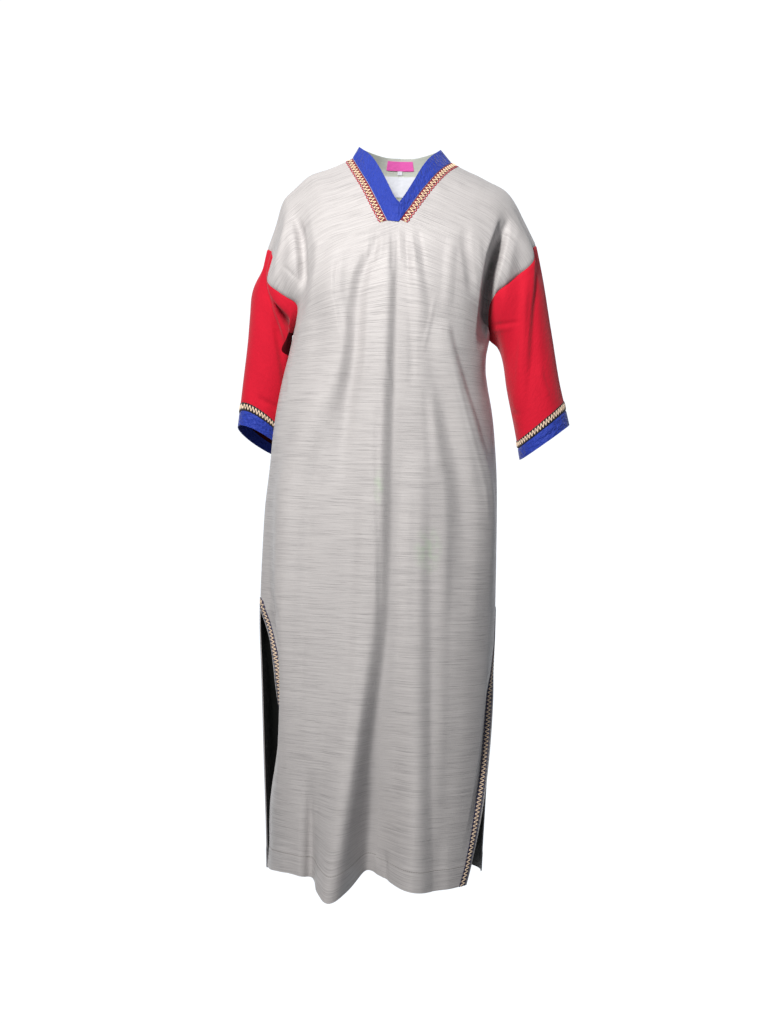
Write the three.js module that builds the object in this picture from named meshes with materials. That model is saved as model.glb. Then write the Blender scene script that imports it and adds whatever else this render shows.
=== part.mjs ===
// A long gandoura of slubbed cloth, in the hollow form it takes when it is worn.
// Millimetres, +Z up, front towards -Y, the wearer's left towards +X.
// The origin is the middle of the neck opening, level with the tops of the shoulders.
import * as THREE from 'three';

// ---------------------------------------------------------------- driving sizes
const WALL = 2; // cloth
const TRIM_WALL = 1; // braid, facing and labels
const TRIM_LIFT = 0.8; // braid above the panel that it is sewn on
const SEAM_RETREAT = 0.22; // each piece stops this short of its seam line

const ARMPIT_DROP = 356; // drops are measured down from the tops of the shoulders
const SLIT_TOP_DROP = 879;
const HEM_FRONT_DROP = 1366;
const HEM_BACK_DROP = 1376;

const UPPER_ROWS = 10; // shoulder to armpit
const MIDDLE_ROWS = 9; // armpit to the top of the side slits
const SLIT_ROWS = 11; // top of the slits to the hem
const CORNER_ROW = 5; // neckline row at the foot of each band
const PANEL_COLUMNS = 14; // shoulder, from the neck to the sleeve seam
const NECK_COLUMNS = 4; // half of the back neckline

const SECTION_POWER = 0.85; // below 1 makes the body's section boxier than an ellipse
const SHARE_POWER = 1.2; // columns stand closer together at the middle of a panel
const SWING_POWER = 1.3;

const BRAID_WIDTH = 15;
const SLIT_RIM = 5; // cloth showing between the slit's edge and its braid
const NECK_RIM = 0.8;
const FACING_DEPTH = 62; // facing below the back neckline seam
const SEAM_SHAPE_REACH = 0.32; // shares of the sleeve's length
const CUFF_START = 0.915;
const CUFF_BRAID_START = 0.87;

// ---------------------------------------------------------------- tables
function table(names, rows) {
  return { columns: names.split(' '), rows };
}

// Smooth reading of a table between its rows; the first column is the key.
function readTable({ columns, rows }, key) {
  const last = rows.length - 1;
  const at = THREE.MathUtils.clamp(key, rows[0][0], rows[last][0]);
  let i = 0;
  while (i < last - 1 && at > rows[i + 1][0]) i += 1;
  const span = rows[i + 1][0] - rows[i][0];
  const t = (at - rows[i][0]) / span;
  const slope = (k, c) => {
    const before = rows[Math.max(k - 1, 0)];
    const after = rows[Math.min(k + 1, last)];
    return (after[c] - before[c]) / (after[0] - before[0]);
  };
  const result = {};
  for (let c = 1; c < columns.length; c += 1) {
    const [a, b] = [rows[i][c], rows[i + 1][c]];
    const bend = t * (1 - t);
    const ease = t * t * (3 - 2 * t);
    result[columns[c]] = a + (b - a) * ease
      + bend * span * ((1 - t) * slope(i, c) - t * slope(i + 1, c));
  }
  return result;
}

// A smooth curve through points, read at equal shares of its length.
function curveThrough(points) {
  let length = 0;
  const rows = points.map((p, i) => {
    if (i > 0) length += Math.hypot(...p.map((value, k) => value - points[i - 1][k]));
    return [length, ...p];
  });
  rows.forEach((row) => { row[0] /= length; });
  const lookup = table('share x y z', rows);
  return (share) => {
    const { x, y, z } = readTable(lookup, share);
    return new THREE.Vector3(x, y, z);
  };
}

// Body below the armpits: half widths to the wearer's right and left, depths and side seam.
const SECTION = table('drop right left front back side', [
  [356, 191, 181, -131, 115, 14],
  [400, 199, 175, -132, 119, 13],
  [445, 209, 181, -132, 122, 12],
  [490, 217, 190, -133, 125, 11],
  [540, 223, 197, -134, 127, 10],
  [615, 229, 204, -136, 130, 9],
  [700, 236, 207, -138, 133, 8],
  [865, 238, 210, -141, 137, 8],
  [1035, 230, 211, -146, 141, 8],
  [1235, 217, 208, -152, 146, 8],
  [1376, 209, 206, -158, 150, 8],
]);

const V_FOOT = [0, -97, -155];
const BACK_NECK = [0, 80, -34];
const BAND_NOTCH = [0.8, -92, -118]; // where the two neck bands cross

// Points are x out from the middle, y and z, down each side of the garment.
const SWING_COLUMNS = 'drop inward forward from reach';
const SIDES = {
  right: {
    sign: -1,
    shoulder: [[90, 4, -21], [137, 6, -43], [171, 9, -55], [197, 12, -79],
      [219, 15, -103], [233, 18, -149], [248, 22, -195]],
    neckline: [[90, 4, -21], [74, -26, -50], [55, -56, -84], [36, -80, -122], [20.5, -95, -152.5]],
    backNeckline: [[0, 80, -34], [30, 73, -33], [56, 54, -28], [78, 30, -23], [90, 4, -21]],
    bandEdge: [[78, 2, 0], [56, -30, -21], [41, -48, -43], [29, -64, -66], [18, -78, -89],
      [8, -88, -109]],
    bandBackEdge: [[0, 66, -6], [26, 61, -6], [48, 45, -4], [68, 25, -1], [78, 2, 0]],
    seamFront: [[248, 22, -195], [234, 2, -208], [239, -14, -258], [215, -34, -284],
      [188, -42, -308], [187, -16, -340], [191, 14, -356]],
    seamBack: [[248, 22, -195], [246, 66, -212], [230, 98, -245], [208, 104, -292],
      [192, 72, -336], [191, 14, -356]],
    sleeve: table('share outX outY outZ inX inY inZ depth', [
      [0, 248, 22, -195, 191, 14, -356, 62],
      [0.08, 253, 25, -221, 209, 26, -373, 56],
      [0.17, 259, 30, -250, 221, 58, -402, 48],
      [0.25, 264, 34, -275, 221, 78, -425, 43],
      [0.5, 272, 42, -361, 214, 100, -478, 42],
      [0.75, 283, 52, -446, 212, 112, -535, 40],
      [1, 291, 56, -531, 212, 122, -590, 40],
    ]),
    // How far the slit's edges swing in and forward, the share where each swing begins, and
    // how much of the quarter section the panel reaches.
    slitFront: table(SWING_COLUMNS, [
      [879, 0, 0, 0.62, 1], [930, 20, 2, 0.64, 1], [976, 31, 4, 0.67, 1], [1030, 38, 8, 0.7, 1],
      [1100, 42, 12, 0.76, 1], [1235, 34, 18, 0.84, 1], [1376, 26, 24, 0.87, 1],
    ]),
    slitBack: table(SWING_COLUMNS, [
      [879, 0, 0, 0.85, 1], [920, 0, 0, 0.85, 1], [990, 2, 9, 0.85, 1], [1376, 2, 13, 0.85, 1],
    ]),
  },
  left: {
    sign: 1,
    shoulder: [[96, 4, -23], [130, 5, -38], [169, 6, -55], [200, 7, -71], [222, 8, -96],
      [240, 8, -128], [263, 8, -172]],
    neckline: [[96, 4, -23], [80, -24, -38], [62, -48, -60], [40, -68, -91], [24, -82, -117],
      [10.4, -91, -138]],
    backNeckline: [[0, 80, -34], [30, 73, -33], [58, 54, -29], [82, 30, -25], [96, 4, -23]],
    bandEdge: [[75, 2, 0], [54, -30, -22], [40, -48, -44], [27, -64, -70], [13, -80, -97],
      BAND_NOTCH],
    bandBackEdge: [[0, 66, -6], [26, 61, -6], [47, 45, -4], [66, 25, -1], [75, 2, 0]],
    seamFront: [[263, 8, -172], [253, -16, -186], [251, -30, -210], [222, -50, -242],
      [188, -54, -276], [179, -32, -320], [181, 14, -356]],
    seamBack: [[263, 8, -172], [258, 50, -190], [240, 78, -225], [212, 86, -275],
      [190, 62, -326], [181, 14, -356]],
    sleeve: table('share outX outY outZ inX inY inZ depth', [
      [0, 263, 8, -172, 181, 14, -356, 62],
      [0.08, 269, 7, -197, 197, 11, -369, 60],
      [0.25, 281, 6, -250, 208, 10, -397, 56],
      [0.5, 297, 3, -335, 217, 5, -448, 53],
      [0.75, 315, 0, -425, 232, 0, -514, 51],
      [1, 337, -2, -511, 246, -2, -580, 50],
    ]),
    slitFront: table(SWING_COLUMNS, [
      [879, 0, 0, 0.5, 1], [1000, 0, 0, 0.5, 0.94], [1130, 0, 0, 0.5, 0.86],
      [1250, 0, 0, 0.5, 0.73], [1376, 0, 0, 0.5, 0.56],
    ]),
    slitBack: table(SWING_COLUMNS, [
      [879, 0, 0, 0.8, 1], [1376, 3, -18, 0.8, 1],
    ]),
  },
};

const CENTRE_FRONT = [V_FOOT, [0, -112, -200], [0, -124, -260], [0, -130, -320], [0, -131, -356]];
const CENTRE_BACK = [BACK_NECK, [0, 98, -110], [0, 110, -220], [0, 115, -356]];

// Folds: a crest line down the cloth, its reach to either side of x, and its height (or depth).
const FOLD_COLUMNS = 'drop x less more height';
const FRONT_FOLDS = [
  // long ridge from the foot of the neck, which ends in the fold that stands out at the hem
  [[165, -15, 18, 12, 0], [230, -15, 40, 16, 7], [392, -17, 55, 20, 12], [573, -19, 62, 24, 15],
    [773, -20, 66, 28, 17], [917, -24, 66, 30, 18], [1131, -50, 58, 34, 24], [1366, -78, 36, 40, 36]],
  // hollow to its left, deepest at the hem
  [[850, 0, 28, 44, 0], [1000, -2, 34, 62, -10], [1131, -6, 40, 74, -26],
    [1250, -12, 44, 80, -46], [1366, -20, 46, 86, -64]],
  // crease to its right at the hem
  [[1150, -124, 18, 24, 0], [1240, -123, 20, 24, -9], [1366, -122, 18, 24, -16]],
  // ridge from the right breast out to the side slit
  [[192, -107, 25, 22, 0], [283, -112, 40, 24, 8], [398, -96, 50, 26, 7], [522, -142, 50, 40, 10],
    [634, -180, 40, 46, 12], [744, -188, 34, 50, 12], [879, -190, 30, 50, 12],
    [1000, -194, 26, 50, 10], [1130, -201, 20, 40, 8], [1300, -206, 16, 30, 4]],
  // hollow beside the long ridge
  [[186, -35, 14, 14, 0], [262, -65, 18, 18, -8], [397, -74, 20, 22, -9], [521, -86, 22, 24, -7],
    [640, -95, 24, 24, 0]],
  // gather from the left end of the neck's foot
  [[190, 26, 12, 12, 0], [240, 34, 16, 16, 6], [300, 42, 20, 20, 5], [400, 48, 24, 24, 0]],
  // sharp ridge out to the left hip, and the hollow inside it
  [[330, 90, 30, 16, 0], [363, 94, 40, 16, 6], [445, 119, 45, 18, 9], [540, 152, 45, 20, 9],
    [634, 182, 40, 18, 8], [734, 196, 34, 16, 6], [860, 200, 30, 16, 0]],
  [[400, 70, 24, 24, 0], [520, 104, 30, 24, -8], [634, 130, 34, 28, -9], [760, 140, 36, 30, -6],
    [900, 140, 36, 30, 0]],
  // soft ridge down the left of the skirt
  [[560, 50, 30, 22, 0], [700, 54, 34, 24, 5], [900, 60, 36, 26, 8], [1131, 66, 40, 30, 10],
    [1366, 74, 46, 34, 14]],
  // armhole folds
  [[110, 206, 22, 22, 0], [160, 200, 26, 24, -7], [210, 188, 28, 26, -11], [290, 178, 26, 24, -8],
    [345, 176, 22, 22, 0]],
  [[110, -190, 22, 22, 0], [166, -183, 24, 26, -8], [210, -175, 26, 28, -12],
    [260, -177, 26, 28, -11], [350, -186, 22, 22, 0]],
  // ridges down the upper arms, on to the sleeves
  [[100, 205, 16, 8, 0], [158, 237, 26, 9, 5], [190, 248, 28, 10, 7], [212, 252, 28, 10, 7],
    [330, 248, 26, 12, 6], [467, 241, 24, 14, 4], [540, 240, 20, 14, 0]],
  [[90, -214, 8, 16, 0], [160, -219, 9, 26, 5], [190, -227, 10, 28, 7], [247, -239, 10, 28, 7],
    [300, -226, 12, 28, 6], [372, -206, 14, 24, 3], [420, -204, 14, 20, 0]],
].map((rows) => table(FOLD_COLUMNS, rows));
const BACK_FOLDS = [
  [[300, -60, 40, 40, 0], [600, -78, 50, 50, 8], [1000, -88, 55, 50, 12], [1376, -98, 52, 46, 19]],
  [[260, 48, 40, 40, 0], [600, 60, 50, 46, 9], [1000, 66, 52, 52, 13], [1376, 74, 52, 50, 20]],
  [[400, -6, 40, 40, 0], [700, -8, 45, 45, -8], [1100, -10, 50, 50, -15], [1376, -12, 52, 52, -22]],
  [[520, 148, 26, 24, 0], [760, 154, 30, 26, -6], [1376, 146, 32, 28, -12]],
  [[560, -160, 24, 26, 0], [800, -166, 28, 30, -6], [1376, -158, 28, 30, -10]],
  [[120, 204, 12, 12, 0], [190, 192, 18, 16, -10], [300, 180, 16, 14, -8], [345, 178, 10, 10, 0]],
  [[130, -196, 12, 12, 0], [200, -184, 16, 18, -10], [310, -186, 14, 16, -8],
    [350, -188, 10, 10, 0]],
].map((rows) => table(FOLD_COLUMNS, rows));
const FOLD_FACING = [0.12, 0.55]; // how squarely cloth faces front or back before it folds fully

// The hem's own rise and fall, which fades out above it.
const HEM_FADE = 220;
const FRONT_HEM = table('x rise', [
  [-215, 0], [-160, 12], [-112, 3], [-78, -22], [-52, -8], [-20, 20], [14, 12], [50, 0], [95, -4],
  [168, -1],
]);
const BACK_HEM = table('x rise', [[-210, 2], [-98, -8], [-12, 6], [74, -7], [206, 1]]);

// ---------------------------------------------------------------- base surfaces
const mirrored = (side, p) => new THREE.Vector3(side.sign * p.x, p.y, p.z);

// A patch between four curves; across and down run from 0 to 1.
function coonsPatch(top, foot, inner, outer) {
  const corners = [top(0), top(1), foot(0), foot(1)];
  return (across, down) => {
    const p = new THREE.Vector3();
    p.addScaledVector(top(across), 1 - down).addScaledVector(foot(across), down);
    p.addScaledVector(inner(down), 1 - across).addScaledVector(outer(down), across);
    p.addScaledVector(corners[0], -(1 - across) * (1 - down));
    p.addScaledVector(corners[1], -across * (1 - down));
    p.addScaledVector(corners[2], -(1 - across) * down);
    p.addScaledVector(corners[3], -across * down);
    return p;
  };
}

// Half a section of the body at a drop; share runs from the middle (0) to the side seam (1).
function sectionPoint(sideName, face, drop, share) {
  const side = SIDES[sideName];
  const section = readTable(SECTION, drop);
  const swing = readTable(face === 'front' ? side.slitFront : side.slitBack, drop);
  const angle = (Math.PI / 2) * swing.reach * share ** SHARE_POWER;
  const out = Math.max(Math.sin(angle), 0) ** SECTION_POWER;
  const deep = Math.max(Math.cos(angle), 0) ** SECTION_POWER;
  const part = (Math.max(share - swing.from, 0) / (1 - swing.from)) ** SWING_POWER;
  return new THREE.Vector3(section[sideName] * out - swing.inward * part,
    section.side + (section[face] - section.side) * deep - swing.forward * part, -drop);
}

// The inner edge of a front half: down the neckline to its foot, then down the middle.
function frontInnerEdge(side) {
  const neckline = curveThrough(side.neckline);
  const centre = curveThrough(CENTRE_FRONT);
  const corner = CORNER_ROW / UPPER_ROWS;
  const foot = (CORNER_ROW + 1) / UPPER_ROWS;
  return (down) => {
    if (down <= corner + 1e-6) return neckline(Math.min(down / corner, 1));
    if (down <= foot + 1e-6) {
      const t = (down - corner) / (foot - corner);
      return neckline(1).lerp(centre(0), Math.min(t, 1));
    }
    return centre((down - foot) / (1 - foot));
  };
}

// The top edge of a back half: out along the neckline, then along the shoulder.
function backTopEdge(side) {
  const neckline = curveThrough(side.backNeckline);
  const shoulder = curveThrough(side.shoulder);
  const turn = NECK_COLUMNS / (NECK_COLUMNS + PANEL_COLUMNS);
  return (across) => (across <= turn
    ? neckline(across / turn)
    : shoulder(Math.min((across - turn) / (1 - turn), 1)));
}

function panelGrid(sideName, face) {
  const side = SIDES[sideName];
  const isFront = face === 'front';
  const columns = PANEL_COLUMNS + (isFront ? 0 : NECK_COLUMNS);
  const hem = isFront ? HEM_FRONT_DROP : HEM_BACK_DROP;
  const foot = (across) => sectionPoint(sideName, face, ARMPIT_DROP, across);
  const patch = isFront
    ? coonsPatch(curveThrough(side.shoulder), foot, frontInnerEdge(side), curveThrough(side.seamFront))
    : coonsPatch(backTopEdge(side), foot, curveThrough(CENTRE_BACK), curveThrough(side.seamBack));
  const rows = [];
  const addRow = (pointAt) => {
    rows.push(Array.from({ length: columns + 1 }, (_, c) => mirrored(side, pointAt(c / columns))));
  };
  for (let r = 0; r <= UPPER_ROWS; r += 1) addRow((across) => patch(across, r / UPPER_ROWS));
  for (let r = 1; r <= MIDDLE_ROWS + SLIT_ROWS; r += 1) {
    const drop = r <= MIDDLE_ROWS
      ? ARMPIT_DROP + ((SLIT_TOP_DROP - ARMPIT_DROP) * r) / MIDDLE_ROWS
      : SLIT_TOP_DROP + ((hem - SLIT_TOP_DROP) * (r - MIDDLE_ROWS)) / SLIT_ROWS;
    addRow((across) => sectionPoint(sideName, face, drop, across));
  }
  return { rows, flip: (side.sign > 0) === isFront, kind: 'body', face };
}

// Shares of the sleeve's length at which its rings stand, down to the edge of the cuff.
const SLEEVE_SHARES = [0, 0.08, 0.17, 0.27, 0.38, 0.5, 0.62, 0.74, CUFF_BRAID_START, CUFF_START];
const CUFF_SHARES = [CUFF_START, 0.957, 1];

function ringPoint(side, share, angle) {
  const r = readTable(side.sleeve, share);
  const outer = new THREE.Vector3(r.outX, r.outY, r.outZ);
  const inner = new THREE.Vector3(r.inX, r.inY, r.inZ);
  const half = outer.clone().sub(inner).multiplyScalar(0.5);
  const forward = new THREE.Vector3(half.y, -half.x, 0).normalize();
  return outer.add(inner).multiplyScalar(0.5)
    .addScaledVector(half, Math.cos(angle))
    .addScaledVector(forward, r.depth * Math.sin(angle));
}

// Rings from the sleeve seam down: the first ones take up the seam's own shape.
function sleeveGrid(side, shares) {
  const seams = [curveThrough(side.seamFront), curveThrough(side.seamBack)];
  const rows = shares.map((share) => {
    const keep = 1 - THREE.MathUtils.smoothstep(share, 0, SEAM_SHAPE_REACH);
    return Array.from({ length: 2 * UPPER_ROWS }, (_, i) => {
      const angle = (Math.PI * i) / UPPER_ROWS;
      const seam = i <= UPPER_ROWS ? seams[0](i / UPPER_ROWS) : seams[1](2 - i / UPPER_ROWS);
      const shift = seam.sub(ringPoint(side, 0, angle)).multiplyScalar(keep);
      return mirrored(side, ringPoint(side, share, angle).add(shift));
    });
  });
  return { rows, flip: side.sign < 0, kind: 'sleeve', wrap: true };
}

// The neck band stands up from the neckline: across it, then along it.
function bandGrid(sideName) {
  const side = SIDES[sideName];
  const neckline = frontInnerEdge(side);
  const edge = curveThrough(side.bandEdge);
  const backOuter = curveThrough(side.backNeckline);
  const backEdge = curveThrough(side.bandBackEdge);
  const pairs = [];
  if (sideName === 'right') {
    const foot = SIDES.left.neckline[SIDES.left.neckline.length - 1];
    pairs.push([new THREE.Vector3(-foot[0], foot[1], foot[2]),
      new THREE.Vector3(-BAND_NOTCH[0], BAND_NOTCH[1], BAND_NOTCH[2])]);
    pairs.push([new THREE.Vector3(...V_FOOT), new THREE.Vector3(3, -90.5, -115)]);
  }
  for (let r = CORNER_ROW; r >= 0; r -= 1) {
    pairs.push([neckline(r / UPPER_ROWS), edge(r / CORNER_ROW)]);
  }
  for (let c = NECK_COLUMNS - 1; c >= 0; c -= 1) {
    pairs.push([backOuter(c / NECK_COLUMNS), backEdge(c / NECK_COLUMNS)]);
  }
  const rows = pairs.map(([outer, inner]) => [0, 0.5, 1].map((t) => (
    mirrored(side, outer.clone().lerp(inner, t)))));
  return { rows, flip: side.sign > 0, kind: 'band' };
}

// ---------------------------------------------------------------- folds and normals
const pointKey = (p) => `${Math.round(p.x * 20)},${Math.round(p.y * 20)},${Math.round(p.z * 20)}`;

function quadsOf(grid) {
  const quads = [];
  const width = grid.rows[0].length;
  for (let r = 0; r + 1 < grid.rows.length; r += 1) {
    for (let c = 0; c < (grid.wrap ? width : width - 1); c += 1) {
      const next = (c + 1) % width;
      const quad = [grid.rows[r][c], grid.rows[r][next], grid.rows[r + 1][next], grid.rows[r + 1][c]];
      quads.push(grid.flip ? quad.reverse() : quad);
    }
  }
  return quads;
}

// One normal for each place, shared by the pieces that meet there. Body, sleeve and band
// count equally, so that a seam's normal halves the angle between them.
function sharedNormals(grids, positionOf) {
  const sums = new Map();
  grids.forEach((grid) => quadsOf(grid).forEach((quad) => {
    const [a, b, c, d] = quad.map(positionOf);
    const facing = c.clone().sub(a).cross(d.clone().sub(b)).normalize();
    quad.forEach((corner) => {
      const key = pointKey(positionOf(corner));
      if (!sums.has(key)) sums.set(key, {});
      const parts = sums.get(key);
      parts[grid.kind] = (parts[grid.kind] ?? new THREE.Vector3()).add(facing);
    });
  }));
  return (corner) => Object.values(sums.get(pointKey(positionOf(corner))))
    .reduce((sum, part) => sum.add(part.clone().normalize()), new THREE.Vector3())
    .normalize();
}

function foldHeight(folds, p) {
  return folds.reduce((sum, fold) => {
    const first = fold.rows[0][0];
    const last = fold.rows[fold.rows.length - 1][0];
    if (-p.z < first || -p.z > last + HEM_FADE) return sum;
    const f = readTable(fold, -p.z);
    const away = p.x < f.x ? (f.x - p.x) / f.less : (p.x - f.x) / f.more;
    return away < 1 ? sum + f.height * (1 - away * away) ** 2 : sum;
  }, 0);
}

function foldCloth(grids) {
  const normalAt = sharedNormals(grids, (p) => p);
  const moved = new Map();
  grids.forEach((grid) => grid.rows.flat().forEach((p) => {
    const normal = normalAt(p);
    const front = THREE.MathUtils.smoothstep(-normal.y, ...FOLD_FACING);
    const back = THREE.MathUtils.smoothstep(normal.y, ...FOLD_FACING);
    const height = front * foldHeight(FRONT_FOLDS, p) + back * foldHeight(BACK_FOLDS, p);
    const folded = p.clone().addScaledVector(normal, height);
    const fade = THREE.MathUtils.clamp((HEM_FADE - (HEM_FRONT_DROP + p.z)) / HEM_FADE, 0, 1) ** 2;
    const hem = grid.face === 'back' ? BACK_HEM : FRONT_HEM;
    if (grid.face) folded.z += fade * readTable(hem, p.x).rise;
    moved.set(p, folded);
  }));
  grids.forEach((grid) => {
    grid.rows = grid.rows.map((row) => row.map((p) => ({ p: moved.get(p) })));
  });
  const foldedNormal = sharedNormals(grids, (node) => node.p);
  grids.forEach((grid) => grid.rows.flat().forEach((node) => { node.n = foldedNormal(node); }));
}

// ---------------------------------------------------------------- places on a folded panel
function between(a, b, t) {
  return { p: a.p.clone().lerp(b.p, t), n: a.n.clone().lerp(b.n, t).normalize() };
}

// The place a given distance along a line of nodes.
function walk(nodes, distance) {
  let left = distance;
  for (let i = 0; i + 1 < nodes.length; i += 1) {
    const step = nodes[i].p.distanceTo(nodes[i + 1].p);
    if (left <= step) return between(nodes[i], nodes[i + 1], left / step);
    left -= step;
  }
  return nodes[nodes.length - 1];
}

function rowAt(grid, row) {
  const r = Math.min(Math.floor(row), grid.rows.length - 2);
  return grid.rows[r].map((node, c) => between(node, grid.rows[r + 1][c], row - r));
}
const columnAt = (grid, column) => grid.rows.map((row) => row[column]);

// ---------------------------------------------------------------- solids
const material = (colour, roughness) => new THREE.MeshStandardMaterial({
  color: colour, roughness, metalness: 0, side: THREE.DoubleSide,
});
const MATERIALS = {
  cloth: material(0xcfcbc7, 0.55),
  sleeve: material(0xd02a3c, 0.8),
  band: material(0x3a49b8, 0.6),
  neckBraid: material(0xd9a878, 0.8),
  cuffBraid: material(0xcdb9a3, 0.8),
  slitBraid: material(0x8f8aa0, 0.8),
  facing: material(0x8c918c, 0.85),
  sizeLabel: material(0xd95aaa, 0.6),
  whiteLabel: material(0xe2e2ea, 0.7),
};

// A grid laid on the cloth takes the cloth's own facing.
function facedGrid(rows) {
  const grid = { rows, flip: false };
  const agreement = quadsOf(grid).reduce((sum, [a, b, c, d]) => {
    const area = c.p.clone().sub(a.p).cross(d.p.clone().sub(b.p));
    return sum + area.dot(a.n);
  }, 0);
  grid.flip = agreement < 0;
  return grid;
}

// A closed wall from one or more grids of nodes that share edges. Its outer face lies at
// `rise` above the nodes, its free edges stop short of the seam lines.
function wallGeometry(grids, rise, thickness) {
  const index = new Map();
  const nodes = [];
  const indexOf = (node) => {
    const key = pointKey(node.p);
    if (!index.has(key)) {
      index.set(key, nodes.length);
      nodes.push(node);
    }
    return index.get(key);
  };
  const triangles = [];
  grids.flatMap(quadsOf).forEach((quad) => {
    const [a, b, c, d] = quad.map(indexOf);
    if (a !== b && b !== c && c !== a) triangles.push([a, b, c]);
    if (a !== c && c !== d && d !== a) triangles.push([a, c, d]);
  });
  const edges = new Map();
  triangles.forEach((t) => t.forEach((from, i) => {
    const to = t[(i + 1) % 3];
    const opposite = `${to},${from}`;
    if (edges.has(opposite)) edges.delete(opposite);
    else edges.set(`${from},${to}`, [from, to]);
  }));
  // Each rim node moves in by the same distance from both of its rim edges.
  const inward = new Map();
  edges.forEach(([from, to]) => {
    const along = nodes[to].p.clone().sub(nodes[from].p).normalize();
    [from, to].forEach((i) => {
      const across = nodes[i].n.clone().cross(along).normalize();
      inward.set(i, [...(inward.get(i) ?? []), across]);
    });
  });
  const face = (height) => nodes.map((node, i) => {
    const p = node.p.clone().addScaledVector(node.n, height);
    if (inward.has(i)) {
      const [a, b] = inward.get(i);
      p.addScaledVector(a.clone().add(b), SEAM_RETREAT / Math.max(1 + a.dot(b), 0.3));
    }
    return p;
  });
  const points = [...face(rise), ...face(rise - thickness)];
  const count = nodes.length;
  const faces = [...triangles, ...triangles.map(([a, b, c]) => [c + count, b + count, a + count])];
  edges.forEach(([from, to]) => {
    faces.push([to, from, from + count], [to, from + count, to + count]);
  });
  const geometry = new THREE.BufferGeometry();
  geometry.setAttribute('position',
    new THREE.Float32BufferAttribute(points.flatMap((p) => p.toArray()), 3));
  geometry.setIndex(faces.flat());
  return geometry;
}

const gandoura = new THREE.Group();
gandoura.name = 'gandoura';

function addWall(name, grids, surface, rise = 0, thickness = WALL) {
  const mesh = new THREE.Mesh(wallGeometry(grids, rise, thickness), surface);
  mesh.geometry.computeVertexNormals();
  mesh.name = name;
  gandoura.add(mesh);
}

// ---------------------------------------------------------------- the garment's own cloth
const panels = {};
['right', 'left'].forEach((sideName) => {
  panels[sideName] = {
    front: panelGrid(sideName, 'front'),
    back: panelGrid(sideName, 'back'),
    sleeve: sleeveGrid(SIDES[sideName], SLEEVE_SHARES),
    cuff: sleeveGrid(SIDES[sideName], CUFF_SHARES),
    band: bandGrid(sideName),
  };
});
foldCloth(Object.values(panels).flatMap((side) => Object.values(side)));

addWall('front', [panels.right.front, panels.left.front], MATERIALS.cloth);
addWall('back', [panels.right.back, panels.left.back], MATERIALS.cloth);

// Braid beside the neckline: from the foot of the band, over the shoulder, to the middle back.
function neckBraidGrid(sideName) {
  const { front, back } = panels[sideName];
  const far = NECK_RIM + BRAID_WIDTH;
  const rows = [];
  const addStation = (nodes) => {
    rows.push([walk(nodes, NECK_RIM), walk(nodes, far / 2), walk(nodes, far)]);
  };
  for (let r = CORNER_ROW; r >= 0; r -= 1) addStation(rowAt(front, r));
  const diagonal = [NECK_COLUMNS - 0.4, NECK_COLUMNS - 0.1, NECK_COLUMNS + 0.4, NECK_COLUMNS + 1];
  addStation(diagonal.map((column, i) => {
    const c = Math.floor(column);
    const row = rowAt(back, i * 0.5);
    return between(row[c], row[c + 1], column - c);
  }));
  for (let c = NECK_COLUMNS - 1; c >= 0; c -= 1) addStation(columnAt(back, c));
  return facedGrid(rows);
}

// Braid round a side slit: up the front edge, over the top, down the back edge.
function slitBraidGrid(sideName) {
  const rows = [];
  const hemRow = UPPER_ROWS + MIDDLE_ROWS + SLIT_ROWS;
  const topRow = UPPER_ROWS + MIDDLE_ROWS;
  const rowHeight = (SLIT_TOP_DROP - ARMPIT_DROP) / MIDDLE_ROWS;
  const inner = topRow - SLIT_RIM / rowHeight;
  const outer = topRow - (SLIT_RIM + BRAID_WIDTH) / rowHeight;
  const place = (grid, row, distance) => walk(rowAt(grid, row).reverse(), distance);
  const side = (grid) => {
    const stations = [];
    for (let r = hemRow; r >= topRow; r -= 1) {
      stations.push([place(grid, r, SLIT_RIM), place(grid, r, SLIT_RIM + BRAID_WIDTH)]);
    }
    stations.push([place(grid, inner, SLIT_RIM * 0.8), place(grid, outer, BRAID_WIDTH)]);
    return stations;
  };
  const { front, back } = panels[sideName];
  rows.push(...side(front));
  rows.push([place(front, inner, 0), place(front, outer, 0)]);
  rows.push(...side(back).reverse());
  return facedGrid(rows);
}

['right', 'left'].forEach((sideName) => {
  const { sleeve, cuff, band } = panels[sideName];
  const lifted = TRIM_LIFT + TRIM_WALL;
  addWall(`neck_band_${sideName}`, [band], MATERIALS.band);
  addWall(`neck_braid_${sideName}`, [neckBraidGrid(sideName)], MATERIALS.neckBraid, lifted, TRIM_WALL);
  addWall(`sleeve_${sideName}`, [sleeve], MATERIALS.sleeve);
  addWall(`cuff_${sideName}`, [cuff], MATERIALS.band);
  const braid = { rows: sleeve.rows.slice(-2), flip: sleeve.flip, wrap: true };
  addWall(`cuff_braid_${sideName}`, [braid], MATERIALS.cuffBraid, lifted, TRIM_WALL);
  addWall(`slit_braid_${sideName}`, [slitBraidGrid(sideName)], MATERIALS.slitBraid, lifted, TRIM_WALL);
});

// ---------------------------------------------------------------- inside the back neck
// Facing behind the back band and the top of the back, as lines of nodes from the top down.
const FACING_RISE = -(WALL + TRIM_LIFT);
const LABEL_RISE = FACING_RISE - TRIM_WALL - 0.4;

function facingLines() {
  const line = (sideName, c) => {
    const { band, back } = panels[sideName];
    const station = band.rows[band.rows.length - 1 - c];
    return [station[2], station[1], ...columnAt(back, c)];
  };
  const lines = [];
  for (let c = NECK_COLUMNS - 1; c > 0; c -= 1) lines.push(line('right', c));
  for (let c = 0; c < NECK_COLUMNS; c += 1) lines.push(line('left', c));
  return lines;
}

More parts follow.
